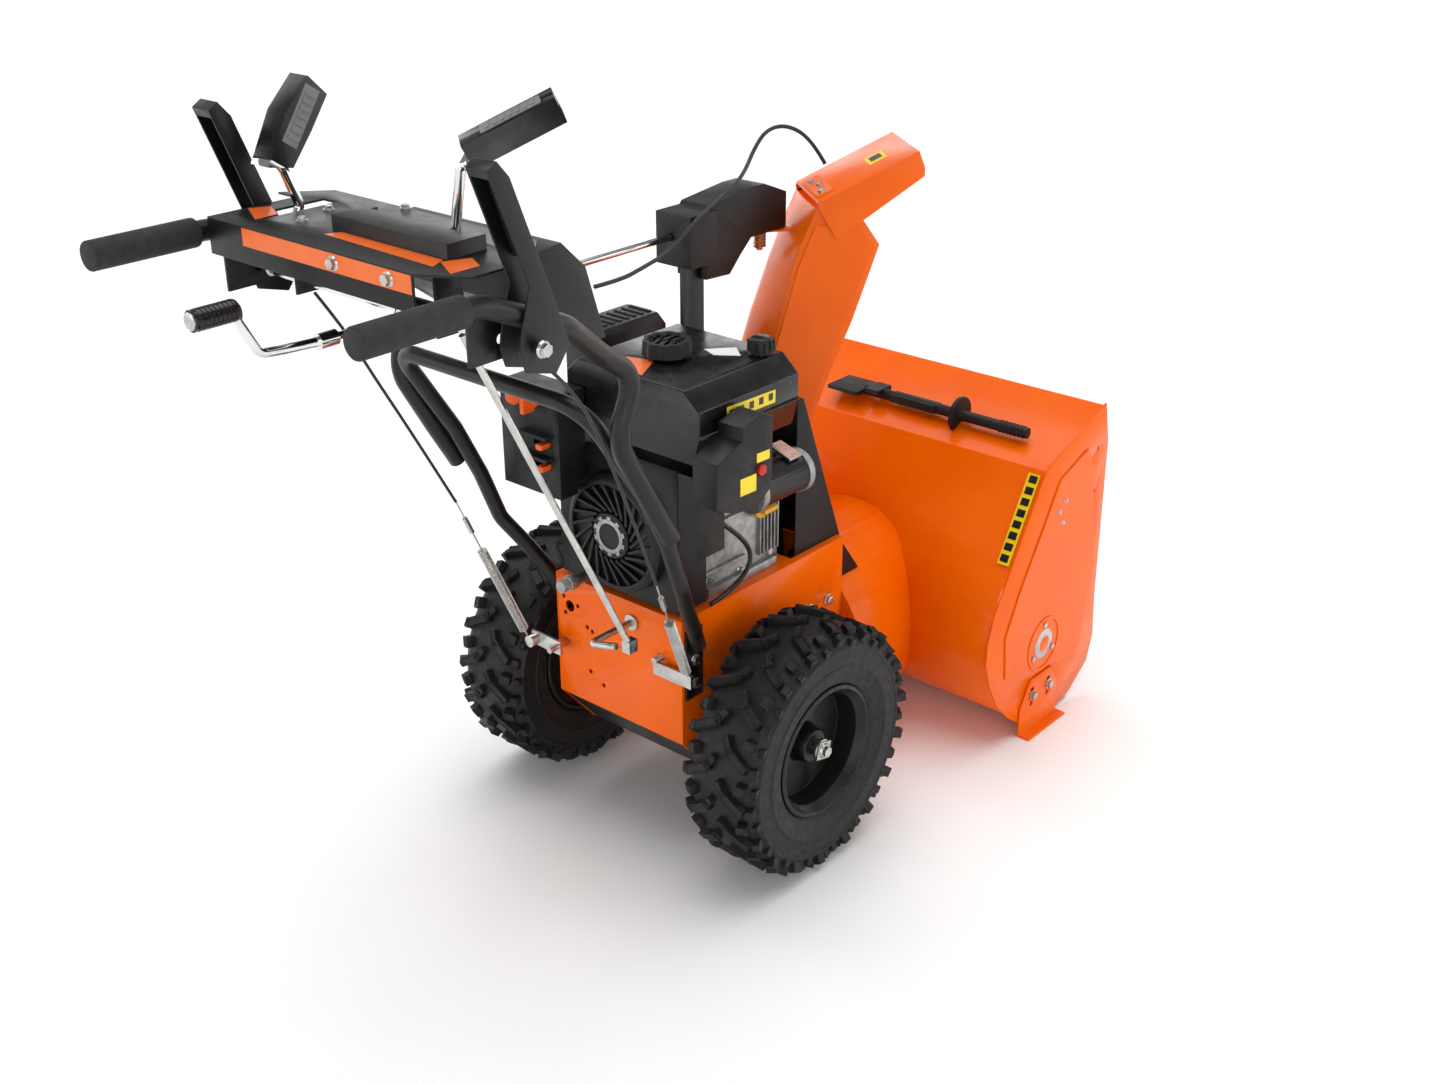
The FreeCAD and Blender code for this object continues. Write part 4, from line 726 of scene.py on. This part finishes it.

# %% [markdown]
# ## Springs and cables
# Two long tension springs tie the clutch cables to their arms.  Each is a real helix,
# stretched straight between the frame and its arm.

# %% Springs
traction_top = Vector((-262, 172, 534)) * MM
traction_end = Vector((-168, 146, 297)) * MM
auger_top = Vector((-250, -192, 520)) * MM
auger_end = Vector((-142, -146, 324)) * MM
for name, top, end, arm in (("auger_spring", auger_top, auger_end, "auger_clutch_arm"),
                            ("traction_spring", traction_top, traction_end, "traction_clutch_arm")):
    run = (end - top).normalized()
    bm = bmesh.new()
    coil(bm, top + run * 90 * MM, end - run * 12 * MM, 6.4, 2.2, 44)
    disc(bm, top, run, 1.3, 92, 10)
    disc(bm, top + run * 30 * MM, run, 4.2, 26, 6)
    disc(bm, end, -run, 1.3, 16, 10)
    spring = piece(name, bm, "zinc_steel", "chassis", 0.0, ("clutch_springs",))
    spring.parent = None
    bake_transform(spring)

# %% [markdown]
# ## Fuel cap
# The cap is gripped by ten soft lobes.  A cone is made with six sides to a lobe, and
# its rim is pushed in between the lobes; the top is inset and sunk.

# %% Fuel cap
LOBES = 10
low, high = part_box("fuel_cap")
cap_centre = (low + high) / 2
cap_bm = bmesh.new()
disc(cap_bm, (0, 0, 0), (0, 0, 1), 35.5, (high.z - low.z) / MM, LOBES * 6, 33.5)
for vert in cap_bm.verts:
    angle = math.atan2(vert.co.y, vert.co.x)
    vert.co.xy *= 0.955 + 0.045 * math.cos(LOBES * angle)
top_face = max(cap_bm.faces, key=lambda face: face.calc_center_median().z)
bmesh.ops.inset_region(cap_bm, faces=[top_face], thickness=5 * MM)
bmesh.ops.inset_region(cap_bm, faces=[top_face], thickness=2 * MM, depth=-2.5 * MM)
bmesh.ops.inset_region(cap_bm, faces=[top_face], thickness=8 * MM)
bmesh.ops.translate(cap_bm, verts=cap_bm.verts, vec=Vector((cap_centre.x, cap_centre.y, low.z)))
piece("fuel_cap_lobed", cap_bm, "black_plastic", "fuel_cap", 1.2, ("fuel_cap",))

# %% [markdown]
# ## Recoil starter cover
# Cooling air enters through a ring of swept slots round a plain gear-shaped badge.
# The ring is turned with a groove, and 22 slanted ribs bridge the groove.

# %% Recoil cover
COVER_RIBS = 22
BADGE_TEETH = 10
low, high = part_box("recoil_cover")
cover_place = Vector((high.x, (low.y + high.y) / 2, (low.z + high.z) / 2))
rim_mm = (high.z - low.z) / 2 / MM
deep = (high.x - low.x) / MM
cover = turned([(rim_mm, 0), (rim_mm, deep - 9), (rim_mm - 3, deep - 5), (rim_mm - 8, deep - 2),
                (rim_mm - 12, deep - 1.5), (rim_mm - 13, deep - 9), (34, deep - 9), (33, deep - 1),
                (30, deep), (0, deep)], cover_place, (-1, 0, 0), 72)
piece("recoil_cover_ring", cover, "black_plastic", "chassis", 0.8, ("recoil_cover",))
swept_ribs = bmesh.new()
middle_radius = (rim_mm + 20) / 2 * MM
sweep = Matrix.Rotation(math.radians(34), 3, "Z")
block(swept_ribs, (middle_radius, 0, (deep - 5) * MM), (46, 4.6, 7), sweep)
around(swept_ribs, everything(swept_ribs), COVER_RIBS, (0, 0, 0), (0, 0, 1))
put(swept_ribs, swept_ribs.verts, cover_place, (-1, 0, 0))
piece("recoil_cover_ribs", swept_ribs, "black_plastic", "chassis", 1.0)
badge = turned([(19, 0), (25, 0), (25, 1.6), (19, 1.6), (19, 0)], (0, 0, deep * MM), (0, 0, 1))
tooth = block(badge, (26.5 * MM, 0, (deep + 0.8) * MM), (6, 7, 1.6))
tooth_edges = list({edge for vert in tooth for edge in vert.link_edges})
tooth_faces = list({face for vert in tooth for face in vert.link_faces})
around(badge, list(tooth) + tooth_edges + tooth_faces, BADGE_TEETH, (0, 0, 0), (0, 0, 1))
put(badge, badge.verts, cover_place, (-1, 0, 0))
piece("recoil_badge", badge, "cast_aluminium", "chassis", 0.4)

# %% [markdown]
# ## Decals
# Decals are plain printed vinyl here, without any lettering: a coloured ground and, on
# the strips, a row of darker squares.  Each is a flat plate, at most 0.4 mm thick, on
# the painted or moulded surface behind it.

# %% Decals
DECAL = 0.4
lip = spot("dash_panel", 0, 0.5, 1)


def decal(name, corners, towards, surface, body="chassis", thick=DECAL):
    """A flat label from its corners in metres."""
    bm = bmesh.new()
    plate(bm, corners, thick, towards)
    return piece(name, bm, surface, body)


def on_level(z, points):
    """Points at one height, from x and y in millimetres."""
    return [Vector((x * MM, y * MM, z)) for x, y in points]


deck = spot("dash_panel", 0.5, 0.5, 1).z - 17 * MM
decal("lip_strip", [Vector((lip.x, y * MM, z * MM)) for y, z in
                    ((-148, 962), (147, 962), (147, 983), (-148, 983))], (-1, 0, 0), "orange_vinyl")
decal("deck_label_left", on_level(deck, ((-512, 209), (-489, 196), (-505, 160), (-538, 158))), (0, 0, 1),
      "orange_vinyl")
decal("deck_label_right", on_level(deck, ((-516, -138), (-484, -152), (-499, -181), (-539, -180))),
      (0, 0, 1), "orange_vinyl")
decal("deck_strip", on_level(deck, ((-526, 46), (-508, 38), (-509, -134), (-533, -146))), (0, 0, 1),
      "orange_vinyl")
TANK_TOP = 0.732
decal("tank_top_label", on_level(TANK_TOP, ((-122, 22), (-84, 26), (-66, -24), (-121, -52))), (0, 0, 1),
      "orange_vinyl")
decal("tank_top_patch", on_level(TANK_TOP, ((12, -44), (46, -73), (23, -100), (2, -70))), (0, 0, 1),
      "white_vinyl")
tank_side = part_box("fuel_tank")[0].y + 4 * MM
decal("tank_side_label", [Vector((x * MM, tank_side, z * MM)) for x, z in
                          ((-76, 682), (24, 680), (24, 698), (-76, 701))], (0, -1, 0), "yellow_vinyl")
marks = bmesh.new()
for k in range(5):
    block(marks, Vector(((-66 + 20 * k) * MM, tank_side - DECAL * MM, 0.6905)), (9, 0.5, 10))
piece("tank_side_marks", marks, "black_vinyl", "chassis")
box_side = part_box("starter_box")[0].y
decal("starter_label_low", [Vector((x * MM, box_side, z * MM)) for x, z in
                            ((-104, 597), (-72, 596), (-72, 620), (-104, 621))], (0, -1, 0), "yellow_vinyl")
decal("starter_label_high", [Vector((x * MM, box_side, z * MM)) for x, z in
                             ((-71, 634), (-45, 633), (-45, 646), (-71, 647))], (0, -1, 0), "yellow_vinyl")

# %% [markdown]
# The long strip on the back of the housing follows its slope.  Its four corners lie on
# the flat sheet between the fold under the roof and the round heel.

# %% Housing strip
SLOPE_TOP = Vector((512, 0, 463)) * MM
SLOPE_END = Vector((426, 0, 325)) * MM
STRIP_MIDDLE = -0.2925
slope = (SLOPE_END - SLOPE_TOP).normalized()
slope_out = Vector((slope.z, 0, -slope.x))
sheet_out = SLOPE_TOP + slope_out * 2.5 * MM
strip_low = sheet_out + slope * 158 * MM
strip = []
for point, y in ((sheet_out + slope * 9 * MM, -281), (sheet_out + slope * 9 * MM, -302),
                 (strip_low, -304), (strip_low, -283)):
    strip.append(Vector((point.x, y * MM, point.z)))
decal("housing_strip", strip, slope_out, "yellow_vinyl")
marks = bmesh.new()
tilt = Matrix.Rotation(math.atan2(-slope.x, -slope.z), 3, "Y")
for k in range(8):
    place = sheet_out + slope * (18 + 18.5 * k) * MM + slope_out * DECAL * MM
    place.y = STRIP_MIDDLE
    block(marks, place, (0.8, 14, 12), tilt)
piece("housing_strip_marks", marks, "black_vinyl", "chassis")

# %% [markdown]
# ## Pressed panels
# Each side plate is stiffened by a raised panel, and the press leaves a rounded step
# all round it.  A flat plate with a bevelled edge stands for the step.

# %% Side panels
PANEL = ((633, 466), (551, 438), (508, 366), (455, 282), (418, 209), (428, 131), (510, 112), (650, 83),
         (666, 106), (679, 251), (658, 421))
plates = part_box("side_plates")
PLATE_FACE = {-1: plates[0].y, 1: plates[1].y}
panels = bmesh.new()
bolts = bmesh.new()
for side in (-1, 1):
    face_y = PLATE_FACE[side]
    plate(panels, [Vector((x * MM, face_y, z * MM)) for x, z in PANEL], 3.2, (0, side, 0))
    for x, z in ((570, 397), (551, 383), (566, 360)):
        bolt(bolts, Vector((x * MM, face_y + side * 3.2 * MM, z * MM)), (0, side, 0), 4)
piece("side_panels", panels, "orange_paint", "chassis", 2.2, (), 4)
hub_rings = bmesh.new()
for side in (-1, 1):
    face_y = PLATE_FACE[side]
    ring = bmesh.ops.create_circle(hub_rings, segments=64, radius=48 * MM)["verts"]
    ring_edges = list({edge for vert in ring for edge in vert.link_edges})
    wide = bmesh.ops.extrude_edge_only(hub_rings, edges=ring_edges)["geom"]
    outer = only_verts(wide)
    bmesh.ops.scale(hub_rings, vec=(0.9, 0.9, 1), verts=outer)
    flat = list({face for vert in outer for face in vert.link_faces})
    raised = bmesh.ops.extrude_face_region(hub_rings, geom=flat)["geom"]
    tops = only_verts(raised)
    bmesh.ops.translate(hub_rings, verts=tops, vec=(0, 0, 2 * MM))
    centre = spot("auger", 0.5, 0.5, 0.5)
    put(hub_rings, ring + outer + tops, Vector((centre.x, face_y + side * 3 * MM, centre.z)), (0, side, 0))
bmesh.ops.recalc_face_normals(hub_rings, faces=hub_rings.faces)
piece("bearing_rings", hub_rings, "orange_paint", "chassis", 0.9)

# %% [markdown]
# ## Bolts that the CAD leaves out
# The dash, the levers' pivots and the crankcase are held by small zinc bolts.

# %% Bolts
for y, z in ((-18, 972), (-110, 972)):
    bolt(bolts, Vector((lip.x, y * MM, z * MM)), (-1, 0, 0), 8)
for x, y in ((-453, 133), (-391, 69), (-505, 115)):
    bolt(bolts, Vector((x * MM, y * MM, deck)), (0, 0, 1), 6)
for x, z in ((92, 415), (92, 520), (-40, 415), (30, 407)):
    bolt(bolts, Vector((x * MM, -96 * MM, z * MM)), (0, -1, 0), 7)
piece("small_bolts", bolts, "zinc_steel", "chassis", 0.3)
PIVOT_X = -488
PIVOT_Z = 908
for name in ("right", "left"):
    pivot_bm = bmesh.new()
    low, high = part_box("clutch_lever_" + name)
    for turn in (1, -1):
        face = high.y if turn > 0 else low.y
        bolt(pivot_bm, Vector((PIVOT_X * MM, face, PIVOT_Z * MM)), (0, turn, 0), 9)
    piece("clutch_pivot_" + name, pivot_bm, "zinc_steel", "clutch_lever_" + name, 0.3)

# %% [markdown]
# ## Engine castings
# The crankcase is stiffened by ribs, and the cylinder and head carry cooling fins.
# Each row is one block repeated at an even pitch.

# %% Ribs and fins
CASE_SIDE = -0.0985
ribs_bm = bmesh.new()
for k in range(6):
    block(ribs_bm, Vector(((68 + 8 * k) * MM, CASE_SIDE, 0.463)), (2.6, 7, 92))
for level in (430, 500):
    block(ribs_bm, Vector((-0.01, CASE_SIDE, level * MM)), (90, 7, 4))
for k in range(9):
    block(ribs_bm, Vector((0.015, 0.125, (506 + 11 * k) * MM)), (124, 108, 2.6))
    block(ribs_bm, Vector((0.015, 0.167, (500 + 12 * k) * MM)), (102, 42, 2.6))
piece("casting_ribs", ribs_bm, "cast_aluminium", "chassis", 0.8)
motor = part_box("starter_motor")
motor_mid = (motor[0] + motor[1]) / 2
rings = bmesh.new()
for x in (motor[0].x - 1 * MM, motor[1].x - 10 * MM):
    disc(rings, (x, motor_mid.y, motor_mid.z), (1, 0, 0), 32, 11, 48)
piece("motor_end_rings", rings, "cast_aluminium", "chassis", 1.4)
bracket = bmesh.new()
block(bracket, Vector((0.06, -0.15, 0.596)), (26, 40, 4), Matrix.Rotation(0.3, 3, "X"))
block(bracket, Vector((0.06, -0.131, 0.575)), (24, 4, 44))
piece("motor_bracket", bracket, "zinc_steel", "chassis", 0.8)

# %% [markdown]
# ## Silencer guard and tank knob
# The guard over the silencer is pressed with seven ribs.  The small knob beside the
# tank is fluted for the fingers.

# %% Guard and knob
KNOB_X = 0.052
KNOB_Y = -0.112
low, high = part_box("muffler_guard")
guard_ribs = bmesh.new()
for k in range(7):
    place = Vector((low.x + (32 + 16 * k) * MM, (low.y + high.y) / 2, high.z))
    block(guard_ribs, place, (7, (high.y - low.y) / MM - 22, 4))
piece("guard_ribs", guard_ribs, "black_paint", "chassis", 1.6)
knob = bmesh.new()
knob_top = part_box("fuel_tank")[1].z
disc(knob, Vector((KNOB_X, KNOB_Y, knob_top - 20 * MM)), (0, 0, 1), 18, 18, 32, 16)
for k in range(12):
    angle = math.radians(30 * k)
    spoke_x = KNOB_X + 17 * MM * math.cos(angle)
    spoke_y = KNOB_Y + 17 * MM * math.sin(angle)
    spoke = Vector((spoke_x, spoke_y, knob_top - 10 * MM))
    disc(knob, spoke - Vector((0, 0, 8 * MM)), (0, 0, 1), 3.2, 15, 10, 2.6)
piece("tank_knob_flutes", knob, "black_plastic", "chassis", 0.8)

# %% [markdown]
# ## Chute fittings
# The chute and its cap have their own axes: one along the throw, one across it.  Three
# bolts hold the hinge strip, a yellow label lies on the cap, and a spring presses
# the head down on the chute.

# %% Chute fittings
YAW = math.radians(38)
ALONG = Vector((math.cos(YAW), -math.sin(YAW), 0))
ACROSS = Vector((math.sin(YAW), math.cos(YAW), 0))
outlet = Vector((305, 100, 0)) * MM
HINGE_ALONG = 74
HINGE_UP = 869
ROOF_RISE = 0.4633


def on_throw(along, across, up):
    """A point in the chute's own axes, in millimetres."""
    return outlet + (ALONG * along + ACROSS * across + Vector((0, 0, up))) * MM


def on_roof(along, across, lift=0):
    """A point on the cap's sloping roof, lifted off it in millimetres."""
    return on_throw(along, across, HINGE_UP + (along - HINGE_ALONG) * ROOF_RISE + lift)


cap_up = (ALONG * -0.42 + Vector((0, 0, 0.907))).normalized()
decal("cap_label", [on_roof(u, v, 0.05) for u, v in
                    ((163, 14), (190, 14), (190, -24), (163, -24))],
      cap_up, "yellow_vinyl", "deflector_cap")
decal("cap_mark", [on_roof(u, v, 0.45) for u, v in
                   ((168, 6), (185, 6), (185, -14), (168, -14))],
      cap_up, "black_vinyl", "deflector_cap", 0.2)
cap_bolts = bmesh.new()
for u, v in ((87, 28), (92, -2), (87, -32)):
    bolt(cap_bolts, on_roof(u, v), cap_up, 6)
piece("cap_bolts", cap_bolts, "zinc_steel", "deflector_cap", 0.3)
strip_bm = bmesh.new()
plate(strip_bm, [on_roof(u, v) for u, v in ((78, 48), (102, 48), (102, -48), (78, -48))],
      1.4, cap_up)
piece("cap_hinge_strip", strip_bm, "orange_paint", "deflector_cap", 0.5)
head_spring = bmesh.new()
coil(head_spring, on_throw(0, 0, 787), on_throw(0, 0, 815), 9.4, 2.6, 6)
piece("head_spring", head_spring, "zinc_steel", "chute")
CHUTE_PANEL = ((-4, 452), (40, 452), (88, 600), (150, 770), (162, 800), (128, 834), (70, 834),
               (44, 770), (10, 640))
seams = bmesh.new()
for side in (1, -1):
    corners = [on_throw(u, side * 65, z) for u, z in CHUTE_PANEL]
    plate(seams, corners, 1.8, ACROSS * side)
piece("chute_panels", seams, "orange_paint", "chute", 1.4, (), 3)
cable_points = [(-90, 60, 823), (-30, 68, 818), (14, 72, 823), (65, 64, 838), (110, 57, 874),
                (147, 57, 889), (186, 64, 900), (228, 78, 905), (268, 96, 915), (296, 104, 938),
                (322, 104, 960), (352, 96, 965), (384, 86, 952), (404, 72, 926), (412, 60, 902)]
cable = piece("deflector_line", swept([Vector(point) * MM for point in cable_points], 3), "cable_jacket",
              "chassis", 0.0, ("deflector_cable",))
cable.parent = None
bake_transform(cable)

# %% [markdown]
# ## Clutch cables and wiring
# The drive cables hang between the dash and their springs, and a wiring loop joins the
# starter box to the engine.

# %% Held cables
HELD_CABLES = {
    "drive_cable": (2.2, ((-440, 196, 868), (-392, 206, 805), (-363, 206, 748), (-310, 190, 640),
                          (-262, 172, 534))),
    "auger_cable": (2.2, ((-440, -204, 868), (-396, -210, 826), (-352, -210, 740), (-306, -205, 640),
                          (-250, -192, 520))),
    "wiring_loop": (3.6, ((-30, -112, 505), (10, -124, 470), (20, -126, 430), (-20, -124, 404),
                          (-70, -126, 400))),
}
for name, (radius, route) in HELD_CABLES.items():
    line = swept([Vector(point) * MM for point in route], radius)
    piece(name, line, "cable_jacket", "chassis", 0.0, ("clutch_cables",))

# %% [markdown]
# ## Clean-out tool
# The shovel's handle is ribbed near its end and held by a spring clip.

# %% Tool details
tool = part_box("clean_out_tool")
tool_x = (tool[0].x + tool[1].x) / 2
tool_z = 0.497
ribs_bm = bmesh.new()
for k in range(7):
    disc(ribs_bm, Vector((tool_x, tool[0].y + (6 + 7 * k) * MM, tool_z)), (0, 1, 0), 10.4, 3.2, 24)
block(ribs_bm, Vector((tool_x, -0.03, tool_z)), (22, 90, 14))
block(ribs_bm, Vector((tool_x, 0.045, tool_z + 6 * MM)), (40, 26, 8))
piece("tool_ribs", ribs_bm, "black_plastic", "clean_out_tool", 1.2)

# %% [markdown]
# ## Parts whose CAD shape is already right
# Frames, tubes, plates and castings keep their CAD shape.  Each is copied, its edges
# are rounded as its process leaves them, and it takes its own finish.

# %% Dress the CAD parts
EDGE_MM = {
    "frame_box": 1.6, "belly_pan": 0.6, "flange_bearings": 0.6, "bucket_shell": 0.8,
    "side_plates": 0.8, "impeller_drum": 0.8, "scraper_bar": 0.6, "skid_shoes": 1.4, "auger": 0.8,
    "auger_gearbox": 2.0, "drive_axle": 0.5, "hex_shaft": 0.4, "friction_wheel": 1.0,
    "traction_disc": 0.8, "impeller": 0.8, "drive_belts": 1.0, "crank_pulley": 0.8,
    "auger_clutch_arm": 0.7, "traction_clutch_arm": 0.7, "belt_cover": 2.5, "engine_block": 4.0,
    "blower_shroud": 3.0, "fuel_tank": 4.0, "muffler_guard": 3.0, "control_panel": 2.5,
    "starter_box": 2.5, "starter_motor": 1.5, "pedestal_post": 0.8, "gear_head": 6.0,
    "lower_handle": 0.6, "upper_handles": 0.0, "dash_panel": 1.5, "dash_bracket": 1.0,
    "rod_housing": 2.5, "clutch_lever_right": 0.8, "clutch_lever_left": 0.8, "shift_rod": 0.8,
    "shift_arm": 0.6, "hex_bolts": 0.4, "chute": 0.8, "deflector_cap": 0.8, "wheel_rims": 1.2,
    "primer_bulb": 1.5, "ignition_key": 1.0, "choke_slider": 1.5, "throttle_slider": 1.5,
    "start_button": 1.0, "oil_dipstick": 1.5, "handle_grips": 3.0, "clean_out_tool": 1.5,
}
for node, edge_mm in EDGE_MM.items():
    piece(node + "_dressed", copy_of(node), NODE_SLOT[node], NODE_BODY[node], edge_mm, (node,))
